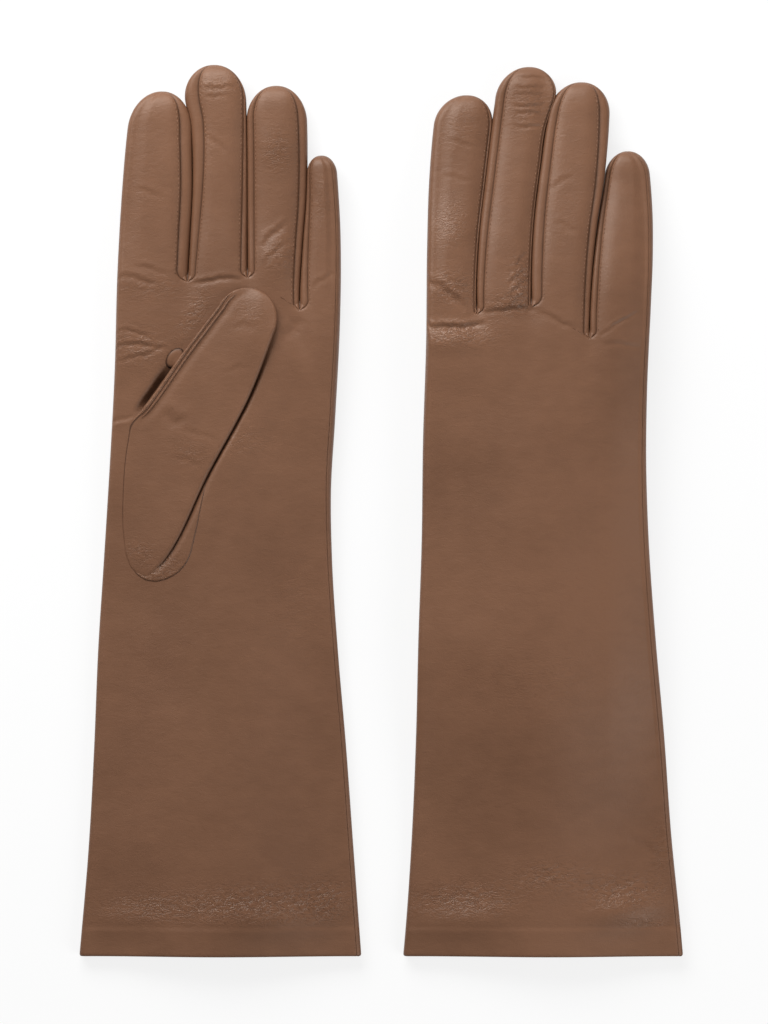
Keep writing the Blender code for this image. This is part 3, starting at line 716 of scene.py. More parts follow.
HAND_HEIGHTS = np.concatenate([
    np.array([0.9, 1.8, 2.8]),
    np.arange(4.0, 14.5, 0.8),
    np.arange(15.5, 44, 1.25),
    np.arange(45, 190, 1.9),
    np.arange(191, 228, 0.8),
    np.arange(228.5, 262.7, 0.55),
    np.array([263.0, 263.8, 264.3, 264.7, 265.0]),
])
HAND_TAUS = HAND_HEIGHTS / HAND_HEIGHTS[-1]
FINGER_TAUS = np.concatenate([
    np.array([0, 0.002, 0.006, 0.012, 0.02, 0.03, 0.042, 0.055]),
    np.linspace(0.066, 0.845, 112),
    1 - 0.15 * (1 - np.sin(np.linspace(0, np.pi / 2, 26))),
])
print("columns on a finger:", len(COLUMNS))
print("rows on a hand:", len(HAND_TAUS), "and on a finger:", len(FINGER_TAUS))

# %% Turning points into meshes
WELD = 0.004 * MM


def in_row_frame(plan, points):
    """Points of a glove's plan as places in the frame, in metres."""
    return (points + np.array([plan.centre, -GLOVE_LENGTH / 2, 0.0])) * MM


def weld(mesh):
    """Joins points that meet, as all the columns do at a fingertip."""
    shell = bmesh.new()
    shell.from_mesh(mesh)
    bmesh.ops.remove_doubles(shell, verts=shell.verts, dist=WELD)
    shell.to_mesh(mesh)
    shell.free()


def add_sheets(name, sheets, material, wrap=False, shade=None, crackle=None):
    """One object from one or more grids of points. Each point keeps its place at rest, for the leather's
    grain, and two masks: painted shade, which darkens seams, creases, cracks and slits, and where the leather
    is finely creased."""
    verts, faces, shades, crackles = [], [], [], []
    for number, sheet in enumerate(sheets):
        rows, columns = sheet.shape[:2]
        first = sum(len(found) for found in verts)
        verts.append(sheet.reshape(-1, 3))
        shades.append(np.zeros(rows * columns) if shade is None else np.ravel(shade[number]))
        crackles.append(np.zeros(rows * columns) if crackle is None else np.ravel(crackle[number]))
        row, column = np.meshgrid(np.arange(rows - 1), np.arange(columns - (0 if wrap else 1)), indexing="ij")
        beside = (column + 1) % columns
        corners = [row * columns + column, row * columns + beside, (row + 1) * columns + beside,
                   (row + 1) * columns + column]
        faces.append(np.stack(corners, -1).reshape(-1, 4) + first)
    mesh = bpy.data.meshes.new(name)
    points = np.concatenate(verts)
    mesh.from_pydata(points.tolist(), [], np.concatenate(faces).tolist())
    for label, values in (("shade", np.concatenate(shades)), ("crackle", np.concatenate(crackles))):
        mesh.attributes.new(label, "FLOAT", "POINT").data.foreach_set("value", values.astype(np.float32))
    rest = mesh.attributes.new("rest", "FLOAT_VECTOR", "POINT")
    rest.data.foreach_set("vector", points.astype(np.float32).ravel())
    weld(mesh)
    mesh.shade_smooth()
    mesh.materials.append(material)
    item = bpy.data.objects.new(name, mesh)
    bpy.context.scene.collection.objects.link(item)
    return item


print("points closer than", round(WELD / MM, 3), "mm are joined")

# %% Where the leather is finely creased
PLAIN_CRACKLE = 0.08
HEM_FADE = 2.0
CRACKLE_SPOTS = {
    "left": [
        Swell((-26.0, 19.0), (22.0, 6.0), 0.7),
        Swell((16.0, 21.0), (26.0, 8.0), 0.9),
        Swell((42.0, 22.0), (9.0, 9.0), 0.7),
        Swell((-31.0, 239.0), (10.0, 8.0), 0.6),
        Swell((-10.0, 252.0), (4.0, 11.0), 0.6, -30.0),
        Swell((-26.0, 262.0), (14.0, 5.0), 0.4),
        Swell((10.0, 202.0), (10.0, 6.0), 0.4),
        Swell((0.0, 341.0), (12.0, 5.0), 0.4),
        Swell((-8.0, 322.0), (5.0, 9.0), 0.4),
        Swell((23.0, 316.0), (6.0, 8.0), 0.6),
        Swell((24.0, 276.0), (8.0, 9.0), 0.5),
        Swell((40.0, 296.0), (5.0, 12.0), 0.3),
        Swell((-27.0, 300.0), (9.0, 26.0), 0.12),
        Swell((30.0, 140.0), (12.0, 20.0), 0.2),
    ],
    "right": [
        Swell((-30.0, 22.0), (22.0, 7.0), 0.9),
        Swell((2.0, 32.0), (14.0, 6.0), 0.8),
        Swell((31.0, 25.0), (15.0, 7.0), 1.0),
        Swell((40.0, 12.5), (10.0, 3.0), 0.6),
        Swell((47.0, 42.0), (5.0, 10.0), 0.5),
        Swell((-33.0, 244.0), (13.0, 5.0), 1.0),
        Swell((-36.0, 262.0), (9.0, 7.0), 0.8),
        Swell((-36.0, 287.0), (7.0, 9.0), 0.6),
        Swell((-9.0, 264.0), (5.0, 10.0), 1.0),
        Swell((-14.0, 255.0), (9.0, 4.0), 0.7),
        Swell((-5.0, 334.0), (9.0, 11.0), 0.45),
        Swell((-32.0, 326.0), (9.0, 10.0), 0.3),
        Swell((10.0, 300.0), (8.0, 30.0), 0.1),
        Swell((-8.0, 108.0), (28.0, 12.0), 0.25),
    ],
}


def crackle_at(plan, points):
    """How finely creased the leather is at points of a glove's plan."""
    found = sum(swell_relief(spot, points[..., 0], points[..., 1]) for spot in CRACKLE_SPOTS[plan.side])
    above_hem = ease(HEM_DEPTH - HEM_FADE, HEM_DEPTH + HEM_FADE, points[..., 1])
    return np.clip(PLAIN_CRACKLE + found, 0, 1) * above_hem


print("creased spots:", {side: len(found) for side, found in CRACKLE_SPOTS.items()})

# %% [markdown]
# ## The finish of the leather
#
# Glove nappa is a fine lambskin. Close up it has tiny pores and a net of hair-fine creases, and where it has
# been bent the creases run across the bend. It is dyed through, so the colour changes only softly from place
# to place, and it has a low satin sheen. A scanned texture would repeat. Here the grain is worked out from
# each point's place at rest, so it stays on the leather when a finger folds. The grain and the uneven dyeing,
# with the shade that is painted into seams, cracks and the crackle's lines, are node groups, because the
# trank, the side strips and the thread all use them.

# %% Node helpers
PORES_A_METRE = 1500.0
CREASES_A_METRE = 620.0
CRACKLES_A_METRE = 620.0


def new_group(name, inputs, outputs):
    """An empty shader node group with named sockets, and its two end nodes."""
    group = bpy.data.node_groups.new(name, "ShaderNodeTree")
    for label, kind, value in inputs:
        socket = group.interface.new_socket(label, in_out="INPUT", socket_type=kind)
        if value is not None:
            socket.default_value = value
    for label, kind in outputs:
        group.interface.new_socket(label, in_out="OUTPUT", socket_type=kind)
    return group, group.nodes.new("NodeGroupInput"), group.nodes.new("NodeGroupOutput")


def math_node(tree, operation, first, second, clamp=False):
    """The result of one operation on two numbers or sockets."""
    node = tree.nodes.new("ShaderNodeMath")
    node.operation = operation
    node.use_clamp = clamp
    for socket, value in zip(node.inputs, (first, second)):
        if isinstance(value, (int, float)):
            socket.default_value = value
        else:
            tree.links.new(value, socket)
    return node.outputs[0]


def noise(tree, vector, scale, detail, stretch=None, distortion=0.0):
    """Noise on a vector. Stretch squeezes the vector first, so that the grain runs in one direction."""
    if stretch:
        mapping = tree.nodes.new("ShaderNodeMapping")
        mapping.inputs["Scale"].default_value = stretch
        tree.links.new(vector, mapping.inputs["Vector"])
        vector = mapping.outputs[0]
    node = tree.nodes.new("ShaderNodeTexNoise")
    node.inputs["Scale"].default_value = scale
    node.inputs["Detail"].default_value = detail
    node.inputs["Distortion"].default_value = distortion
    tree.links.new(vector, node.inputs["Vector"])
    return node.outputs["Fac"]


def mix_colours(tree, factor, first, second):
    """The first colour where the factor is 0 and the second where it is 1."""
    node = tree.nodes.new("ShaderNodeMix")
    node.data_type = "RGBA"
    node.clamp_factor = True
    tree.links.new(factor, node.inputs[0])
    tree.links.new(first, node.inputs[6])
    tree.links.new(second, node.inputs[7])
    return node.outputs[2]


print("a metre of leather has", PORES_A_METRE, "pores")

# %% The leather grain group
NET_HEIGHT = 0.8
CRACKLE_SHARPNESS, CRACKLE_ROUNDING = 8.0, 0.6
CRACKLE_HEIGHT, CRACKLE_SHINE = 1.2, 0.2


def off_a_crackle(tree, place):
    """How far a place is from the nearest line of the crackle, as a share of the noise's range."""
    crossing = noise(tree, place, CRACKLES_A_METRE, 3.0, (0.5, 1.0, 1.0), 0.8)
    return math_node(tree, "ABSOLUTE", math_node(tree, "SUBTRACT", crossing, 0.5), 0.0)


def make_grain_group():
    """The height of the pores, the net of fine creases and the crackle, and their roughness."""
    group, start, end = new_group(
        "leather_grain",
        [("Place", "NodeSocketVector", None), ("Crackle", "NodeSocketFloat", 0.0),
         ("Pores", "NodeSocketFloat", 0.3), ("Smoothest", "NodeSocketFloat", 0.3),
         ("Roughest", "NodeSocketFloat", 0.5)],
        [("Height", "NodeSocketFloat"), ("Roughness", "NodeSocketFloat")],
    )
    place = start.outputs["Place"]
    cells = group.nodes.new("ShaderNodeTexVoronoi")
    cells.feature = "DISTANCE_TO_EDGE"
    cells.inputs["Scale"].default_value = PORES_A_METRE
    group.links.new(place, cells.inputs["Vector"])
    pores = math_node(group, "MULTIPLY", cells.outputs["Distance"], start.outputs["Pores"])
    net = noise(group, place, CREASES_A_METRE, 4.0, (0.55, 1.0, 1.0), 0.6)
    swollen = math_node(group, "MULTIPLY", off_a_crackle(group, place), CRACKLE_SHARPNESS)
    swollen = math_node(group, "POWER", swollen, CRACKLE_ROUNDING)
    swollen = math_node(group, "MULTIPLY", swollen, CRACKLE_HEIGHT)
    crackle = math_node(group, "MULTIPLY", swollen, start.outputs["Crackle"])
    total = math_node(group, "ADD", pores, math_node(group, "MULTIPLY", net, NET_HEIGHT))
    total = math_node(group, "ADD", total, crackle)
    group.links.new(total, end.inputs["Height"])
    rough = group.nodes.new("ShaderNodeMapRange")
    group.links.new(net, rough.inputs["Value"])
    group.links.new(start.outputs["Smoothest"], rough.inputs["To Min"])
    group.links.new(start.outputs["Roughest"], rough.inputs["To Max"])
    shine = math_node(group, "MULTIPLY", start.outputs["Crackle"], CRACKLE_SHINE)
    group.links.new(math_node(group, "SUBTRACT", rough.outputs[0], shine), end.inputs["Roughness"])
    return group


GRAIN = make_grain_group()
print("node group:", GRAIN.name)

# %% The dyeing and painted shade group
PATCHES_A_METRE, PATCH_SHARE = 16.0, 0.7
MOTTLES_A_METRE, MOTTLE_SHARE = 210.0, 0.3
DYE_RANGE = (0.36, 0.64)
# Painted shade along the lines of the crackle, where their grooves fall dark.
LINE_SHARPNESS, LINE_SHADE = 30.0, 0.4


def make_dye_and_shade_group():
    """The leather's colour: broad patches and a fine mottle, with painted shade darkening the seams, the
    cracks and slits beside the thumb, and the lines of the crackle.
    """
    group, start, end = new_group(
        "uneven_dye_and_painted_shade",
        [("Place", "NodeSocketVector", None), ("Shade", "NodeSocketFloat", 0.0),
         ("Crackle", "NodeSocketFloat", 0.0), ("Dark", "NodeSocketColor", None),
         ("Light", "NodeSocketColor", None), ("Seam", "NodeSocketColor", None)],
        [("Color", "NodeSocketColor")],
    )
    place = start.outputs["Place"]
    broad = noise(group, place, PATCHES_A_METRE, 2.0)
    fine = noise(group, place, MOTTLES_A_METRE, 4.0, (0.6, 1.0, 1.0))
    patches = math_node(group, "MULTIPLY", broad, PATCH_SHARE)
    mottles = math_node(group, "MULTIPLY", fine, MOTTLE_SHARE)
    spread = group.nodes.new("ShaderNodeMapRange")
    spread.inputs["From Min"].default_value, spread.inputs["From Max"].default_value = DYE_RANGE
    group.links.new(math_node(group, "ADD", patches, mottles), spread.inputs["Value"])
    tone = mix_colours(group, spread.outputs[0], start.outputs["Dark"], start.outputs["Light"])
    # Painted shade along the crackle's lines, as much as the crackle mask allows.
    off = math_node(group, "MULTIPLY", off_a_crackle(group, place), LINE_SHARPNESS)
    line = math_node(group, "MULTIPLY", math_node(group, "SUBTRACT", 1.0, off, True), LINE_SHADE)
    lines = math_node(group, "MULTIPLY", line, start.outputs["Crackle"])
    # The stronger of that and the shade painted from the mesh's shade mask mixes the colour towards the
    # painted shade colour.
    dark = math_node(group, "MAXIMUM", lines, start.outputs["Shade"])
    group.links.new(mix_colours(group, dark, tone, start.outputs["Seam"]), end.inputs["Color"])
    return group


DYE_AND_SHADE = make_dye_and_shade_group()
print("node group:", DYE_AND_SHADE.name)

# %% Leather and thread
GRAIN_HEIGHT = 0.2 * MM
LEATHER_GLOSS, LEATHER_TINT = 0.34, (1.0, 0.92, 0.84, 1.0)


class Finish(NamedTuple):
    """A leather's darkest and lightest dyed colour, the colour of the shade painted into its seams, cracks
    and crackle, its smoothest and roughest sheen, and the strength of its bump and of its pores."""

    dark: tuple
    light: tuple
    seam: tuple
    # The colour of the painted shade in the seams, cracks, slits and crackle lines.
    roughness: tuple
    bump: float
    pores: float


def attribute(tree, name, output):
    """A value that each point of a mesh keeps."""
    node = tree.nodes.new("ShaderNodeAttribute")
    node.attribute_name = name
    return node.outputs[output]


def make_leather(name, finish):
    """A dyed leather: colour and painted shade from the dyeing and shade group, bump from the grain group,
    and an uneven satin sheen.
    """
    material = bpy.data.materials.new(name)
    material.use_nodes = True
    tree = material.node_tree
    shader = tree.nodes["Principled BSDF"]
    place = attribute(tree, "rest", "Vector")
    colour_node = tree.nodes.new("ShaderNodeGroup")
    colour_node.node_tree = DYE_AND_SHADE
    for label, colour in (("Dark", finish.dark), ("Light", finish.light), ("Seam", finish.seam)):
        colour_node.inputs[label].default_value = (*colour, 1.0)
    tree.links.new(place, colour_node.inputs["Place"])
    crackle = attribute(tree, "crackle", "Fac")
    # The shade mask paints shade into the seams, cracks and slits, and the crackle mask paints shade along
    # the crackle's lines.
    tree.links.new(attribute(tree, "shade", "Fac"), colour_node.inputs["Shade"])
    tree.links.new(crackle, colour_node.inputs["Crackle"])
    tree.links.new(colour_node.outputs["Color"], shader.inputs["Base Color"])
    grain = tree.nodes.new("ShaderNodeGroup")
    grain.node_tree = GRAIN
    grain.inputs["Pores"].default_value = finish.pores
    tree.links.new(place, grain.inputs["Place"])
    grain.inputs["Smoothest"].default_value, grain.inputs["Roughest"].default_value = finish.roughness
    tree.links.new(crackle, grain.inputs["Crackle"])
    bump = tree.nodes.new("ShaderNodeBump")
    bump.inputs["Strength"].default_value = finish.bump
    bump.inputs["Distance"].default_value = GRAIN_HEIGHT
    tree.links.new(grain.outputs["Height"], bump.inputs["Height"])
    tree.links.new(bump.outputs["Normal"], shader.inputs["Normal"])
    tree.links.new(grain.outputs["Roughness"], shader.inputs["Roughness"])
    shader.inputs["Specular IOR Level"].default_value = LEATHER_GLOSS
    shader.inputs["Specular Tint"].default_value = LEATHER_TINT
    return material


# Each finish's third colour, near black, is the colour of its painted shade.
NAPPA = make_leather(
    "brown_nappa",
    Finish((0.147, 0.0685, 0.037), (0.185, 0.088, 0.0485), (0.030, 0.011, 0.005), (0.42, 0.56), 0.65, 0.35),
)
SIDE_NAPPA = make_leather(
    "fourchette_nappa",
    Finish((0.146, 0.066, 0.034), (0.180, 0.083, 0.044), (0.030, 0.011, 0.005), (0.42, 0.56), 0.60, 0.35),
)
THREAD = make_leather(
    "silk_thread",
    Finish((0.150, 0.070, 0.038), (0.235, 0.125, 0.075), (0.060, 0.024, 0.012), (0.40, 0.60), 0.60, 0.10),
)
print("leathers:", [material.name for material in (NAPPA, SIDE_NAPPA, THREAD)])

# %% Silk lining
KNIT_WAVES = (("X", 420.0), ("Y", 300.0))
SILK_DARK, SILK_LIGHT = (0.200, 0.128, 0.084, 1.0), (0.330, 0.228, 0.158, 1.0)
KNIT_HEIGHT = 0.1 * MM


def make_silk():
    """A fine knit: rows of loops as two crossed waves, which dim the colour a little and make the bump."""
    material = bpy.data.materials.new("silk_lining")
    material.use_nodes = True
    tree = material.node_tree
    shader = tree.nodes["Principled BSDF"]
    place = attribute(tree, "rest", "Vector")
    waves = []
    for direction, scale in KNIT_WAVES:
        wave = tree.nodes.new("ShaderNodeTexWave")
        wave.bands_direction = direction
        wave.inputs["Scale"].default_value = scale
        wave.inputs["Distortion"].default_value = 0.8
        tree.links.new(place, wave.inputs["Vector"])
        waves.append(wave.outputs["Fac"])
    knit = math_node(tree, "MULTIPLY", *waves)
    ramp = tree.nodes.new("ShaderNodeValToRGB")
    ramp.color_ramp.elements[0].color = SILK_DARK
    ramp.color_ramp.elements[1].color = SILK_LIGHT
    tree.links.new(knit, ramp.inputs["Fac"])
    tree.links.new(ramp.outputs["Color"], shader.inputs["Base Color"])
    shader.inputs["Roughness"].default_value = 0.42
    bump = tree.nodes.new("ShaderNodeBump")
    bump.inputs["Strength"].default_value = 0.5
    bump.inputs["Distance"].default_value = KNIT_HEIGHT
    tree.links.new(knit, bump.inputs["Height"])
    tree.links.new(bump.outputs["Normal"], shader.inputs["Normal"])
    return material


SILK = make_silk()
print("lining:", SILK.name)

# %% [markdown]
# ## The trank
#
# The trank is one skin folded round the hand, closed by a seam down the little finger's side and turned
# in at the hem. It is built as a ring of columns: the upper skin from left to right, the roll at the
# little finger's edge, the lower skin back again, and the fold at the index edge. At the hem the ring
# turns inwards, as the real leather does, so the mouth of the cuff has a round edge.

# %% Building the hands
HEM_THICKNESS = 1.6
HEM_TURN = (
    (HEM_DEPTH, 1.0), (6.0, 1.0), (1.6, 1.0), (0.5, 0.86), (0.12, 0.66),
    (0.0, 0.45), (0.12, 0.22), (0.5, 0.06),
)
# Painted shade in the side seam's groove.
SIDE_SEAM_SHADE = 0.4


def side_seam_shade(turns, heights):
    """Painted shade in the groove of the seam down the little finger's side."""
    line = np.exp(-(((turns[None] - SIDE_SEAM_TURN) / (1.3 * SIDE_SEAM_SPREAD)) ** 2))
    return SIDE_SEAM_SHADE * line * np.ones_like(heights)


def hand_ring(plan, taus, columns=COLUMNS, lower=LOWER_COLUMNS, turns=ROLL_TURNS):
    """The rows of the whole ring, and the seam shade of each point."""
    numbers = range(len(FINGERS))
    tau = np.asarray(taus)[:, None]
    upper = np.concatenate([hand_point(plan, n, columns[None], tau)[:, (n > 0):] for n in numbers], 1)
    under = [hand_point(plan, n, lower[None], tau, "lower")[:, (n > 0):] for n in numbers]
    under = np.concatenate(under, 1)[:, ::-1]
    heights = upper[:, -1:, 1]
    low, high = glove_width(plan, upper[:, :1, 1])[0], glove_width(plan, heights)[1]
    right = roll_point(upper[:, -1:], under[:, :1], high, turns[None], groove=np.ones_like(heights))
    left = roll_point(upper[:, :1], under[:, -1:], low, turns[None])[:, ::-1]
    shade = [np.zeros(upper.shape[:2]), side_seam_shade(turns, heights), np.zeros(under.shape[:2])]
    shade.append(np.zeros(left.shape[:2]))
    cuts = [slice(None), slice(1, -1), slice(None), slice(1, -1)]
    sheets = [sheet[:, cut] for sheet, cut in zip((upper, right, under, left), cuts)]
    return np.concatenate(sheets, 1), np.concatenate([s[:, cut] for s, cut in zip(shade, cuts)], 1)


def inset_ring(ring, inset):
    """A ring moved inwards, square to its own section."""
    ahead, behind = np.roll(ring, -1, axis=1), np.roll(ring, 1, axis=1)
    across, level = ahead[..., 0] - behind[..., 0], ahead[..., 2] - behind[..., 2]
    length = np.maximum(np.hypot(across, level), 1e-6)
    moved = ring.copy()
    moved[..., 0] += inset * level / length
    moved[..., 2] -= inset * across / length
    return moved


def turned_hem(plan):
    """The rows that turn in at the mouth of the cuff, from inside to outside."""
    rows = []
    for height, share in HEM_TURN:
        ring, _ = hand_ring(plan, [max(height, 0.2) / HAND_HEIGHTS[-1]])
        ring = inset_ring(ring, share * HEM_THICKNESS)
        ring[..., 1] = height
        rows.append(ring[0])
    return np.array(rows)


def upper_mask(points):
    """1 on the upper skin and 0 on the lower one."""
    return ease(4.0, 6.0, points[..., 2])


def build_hand(plan):
    ring, shade = hand_ring(plan, HAND_TAUS)
    turned = turned_hem(plan)
    points = np.concatenate([turned, ring])
    shade = np.concatenate([np.zeros(turned.shape[:2]), shade])
    # Painted shade in the slit and in the crack under the thumb's fold, on the upper skin.
    for sunk in (slit, fold_crack):
        shade = np.maximum(shade, sunk(plan, points[..., 0], points[..., 1])[1] * upper_mask(points))
    crackle = crackle_at(plan, points)
    name = f"{plan.side}_trank_skin"
    skin = add_sheets(name, [in_row_frame(plan, points)], NAPPA, True, [shade], [crackle])
    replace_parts(skin, f"{plan.side}_trank")
    return skin


HANDS = {plan.side: build_hand(plan) for plan in PLANS}
print("points on a hand:", len(HANDS["left"].data.vertices))

# %% [markdown]
# ## The fingers and their fourchettes
#
# A glove finger is two strips of the trank, one over and one under, with narrow fourchettes sewn between
# them. The stitched edges roll down into the seam, and the fourchettes bulge out until they meet those of the
# next finger in a dark crack. Each finger is a piece of its own, starting where it leaves the hand.

# %% Building the fingers
SEAM_SINK = 0.22
FOURCHETTE_BULGE = 0.32
# Painted shade in the groove of a stitched seam.
SEWN_SHADE = 0.75


def wall(plan, number, side, taus, turns, bulge):
    """The wall at one side of a finger, from its upper strip to its lower one."""
    share = 0.0 if side == "left" else 1.0
    tau = np.asarray(taus)[:, None]
    top = strip_point(plan, number, np.full_like(tau, share), tau)
    bottom = strip_point(plan, number, np.full_like(tau, share), tau, "lower")
    start = finger_starts(plan, number, "upper")[int(share)]
    reach = top[..., 1] - start
    low, high, past = outline(plan, number, top[..., 1], reach)
    out = low if side == "left" else high
    sewn = bulge > 0
    if sewn:
        top = top - np.array([0, 0, SEAM_SINK]) * np.sqrt(1 - past**2)[..., None]
    groove = np.sqrt(1 - past**2) if side == "right" and not sewn else None
    return roll_point(top, bottom, out, np.asarray(turns)[None], bulge * np.sqrt(1 - past**2), groove)


def sewn_sides(number):
    """The sides of a finger that a fourchette closes, with its place on the finger."""
    return [(side, word) for side, word, sewn in
            (("left", "inner", number > 0), ("right", "outer", number < len(FINGERS) - 1)) if sewn]


def edge_shade(columns, sides, rows):
    """Painted shade along the stitched edges of a strip, in the seam's groove."""
    shade = np.zeros((rows, len(columns)))
    names = [side for side, _ in sides]
    if "left" in names:
        shade[:, 0] = SEWN_SHADE
        shade[:, 1] = SEWN_SHADE / 4
    if "right" in names:
        shade[:, -1] = SEWN_SHADE
        shade[:, -2] = SEWN_SHADE / 4
    return shade


def bend_with_finger(item):
    """Bakes the piece's placement into its points."""
    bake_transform(item)
    return item


def build_fourchette(plan, number, side, node):
    points = wall(plan, number, side, FINGER_TAUS, WALL_TURNS, FOURCHETTE_BULGE)
    shade = np.zeros(points.shape[:2])
    # Painted shade along both of the fourchette's seams.
    shade[:, 0] = shade[:, -1] = SEWN_SHADE
    shade[:, 1] = shade[:, -2] = SEWN_SHADE / 5
    if side == "left":
        points = points[:, ::-1]
    strip = add_sheets(f"{node}_strip", [in_row_frame(plan, points)], SIDE_NAPPA, False, [shade])
    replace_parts(strip, node)
    bend_with_finger(strip)


def build_finger(plan, number):
    name = f"{plan.side}_{FINGERS[number]}"
    tau = FINGER_TAUS[:, None]
    upper = strip_point(plan, number, COLUMNS[None], tau)
    lower = strip_point(plan, number, LOWER_COLUMNS[None], tau, "lower")[:, ::-1]
    sides = sewn_sides(number)
    shade = edge_shade(COLUMNS, sides, len(tau))
    sheets, shades = [upper, lower], [shade, np.zeros(lower.shape[:2])]
    if number == 0:
        rolled = wall(plan, number, "left", FINGER_TAUS, ROLL_TURNS, 0.0)[:, ::-1]
        sheets = [np.concatenate([lower, rolled[:, 1:-1], upper], 1)]
        shades = [np.concatenate([shades[1], np.zeros(rolled[:, 1:-1].shape[:2]), shade], 1)]
    if number == len(FINGERS) - 1:
        rolled = wall(plan, number, "right", FINGER_TAUS, ROLL_TURNS, 0.0)
        # Painted shade along the side seam's groove.
        seam = side_seam_shade(ROLL_TURNS, np.ones((len(tau), 1)))[:, 1:-1]
        sheets = [np.concatenate([upper, rolled[:, 1:-1], lower], 1)]
        shades = [np.concatenate([shade, seam, shades[1]], 1)]
    placed = [in_row_frame(plan, sheet) for sheet in sheets]
    crackles = [crackle_at(plan, sheet) for sheet in sheets]
    skin = add_sheets(f"{name}_skin", placed, NAPPA, False, shades, crackles)
    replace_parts(skin, f"{name}_finger")
    for side, word in sides:
        build_fourchette(plan, number, side, f"{name}_{word}_fourchette")
    return skin


FINGER_SKINS = {plan.side: [build_finger(plan, n) for n in range(len(FINGERS))] for plan in PLANS}
print("points on a finger:", len(FINGER_SKINS["left"][1].data.vertices))

# %% [markdown]
# The hand and its fingers are separate objects. Their shading would show a line where they meet, because each
# object smooths only its own faces. The points on that line are given the average of the directions from both
# sides.

# %% One shading across the fingers' roots
SHARED_POINT = 0.03 * MM


def match_shading(items):
    """Gives points that several objects share the same shading direction."""
    places, normals = [], []
    for item in items:
        for vertex in item.data.vertices:
            places.append(vertex.co)
            normals.append(vertex.normal)
    near = KDTree(len(places))
    for number, place in enumerate(places):
        near.insert(place, number)
    near.balance()
    for item in items:
        directions = []
        for vertex in item.data.vertices:
            met = [normals[number] for _, number, _ in near.find_range(vertex.co, SHARED_POINT)]
            directions.append(sum(met, Vector()).normalized())
        item.data.normals_split_custom_set_from_vertices(directions)


for plan in PLANS:
    match_shading([HANDS[plan.side], *FINGER_SKINS[plan.side]])
    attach(HANDS[plan.side], f"{plan.side}_hand")
    for number, skin in enumerate(FINGER_SKINS[plan.side]):
        bend_with_finger(skin)
print("skins shaded as one:", len(PLANS) * (1 + len(FINGERS)))

# %% [markdown]
# ## The quirks
#
# A quirk is the tiny piece that closes the bottom of a fork. From above it shows as a small folded knot
# of leather in the round end of the slot. Each is a little saddle with a crease along its middle.

# %% Building the quirks
QUIRK_LENGTH = 7.5
QUIRK_START = -0.9
QUIRK_DROP = 0.6
QUIRK_WALL = 4.5
QUIRK_LOBE = 1.1
QUIRK_SPAN, QUIRK_LEAST, QUIRK_FILL = 60.0, 0.8, 0.9
# Painted shade in the quirk's middle crease.
QUIRK_CREASE, QUIRK_SHADE = 0.16, 0.8


def build_quirk(plan, number):
    """The quirk to the left of finger number."""
    fork = plan.forks[number - 1]
    along = np.linspace(0, 1, 15)[:, None]
    turn = np.linspace(-1, 1, 17)[None]
    reach = QUIRK_START + QUIRK_LENGTH * along
    low = np.maximum(band(fork.left_band, reach, QUIRK_SPAN), QUIRK_LEAST)
    high = np.maximum(band(fork.right_band, reach, QUIRK_SPAN), QUIRK_LEAST)
    height = fork.upper + reach
    width = np.where(turn < 0, low, high) * QUIRK_FILL
    across = lane(plan, number, height) + turn * width
    top = upper_height(plan, lane(plan, number, height), height) + drape(plan, across, height)
    ends = np.sin(np.pi * np.clip(along * 0.9 + 0.1, 0, 1)) ** 0.7
    lobes = QUIRK_LOBE * np.sin(np.pi * np.abs(turn)) ** 0.8 * ends
    sink = QUIRK_DROP + QUIRK_WALL * along**1.5
    level = top - sink + lobes + 0.4 * np.abs(turn) ** 3
    points = np.stack([across, np.broadcast_to(height, across.shape), level], -1)
    # Painted shade along the crease in the quirk's middle.
    shade = np.broadcast_to(np.exp(-((turn / QUIRK_CREASE) ** 2)) * QUIRK_SHADE, across.shape)
    node = f"{plan.side}_quirk_{FINGERS[number - 1]}_{FINGERS[number]}"
    quirk = add_sheets(f"{node}_knot", [in_row_frame(plan, points)], SIDE_NAPPA, False, [shade])
    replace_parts(quirk, node)
    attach(quirk, f"{plan.side}_hand")


for plan in PLANS:
    for number in range(1, len(FINGERS)):
        build_quirk(plan, number)
print("quirks:", 2 * (len(FINGERS) - 1))

# %% [markdown]
# ## The thumb
#
# The thumb is a sleeve of its own, set into an oval seat in the palm. Folded flat it looks like a leaf:
# its left edge is sewn down along the seat and then stands free with a raised seam, and its right edge is
# a plain fold with a dark gap under it. The leaf is laid out along its own slanting axis. Its lower left
# side runs out level with the palm, and its tip and its right side stand up on the air inside. A folded
# sheet could be simulated instead, but the fold's place is what the eye checks first, and here it is
# simply given.

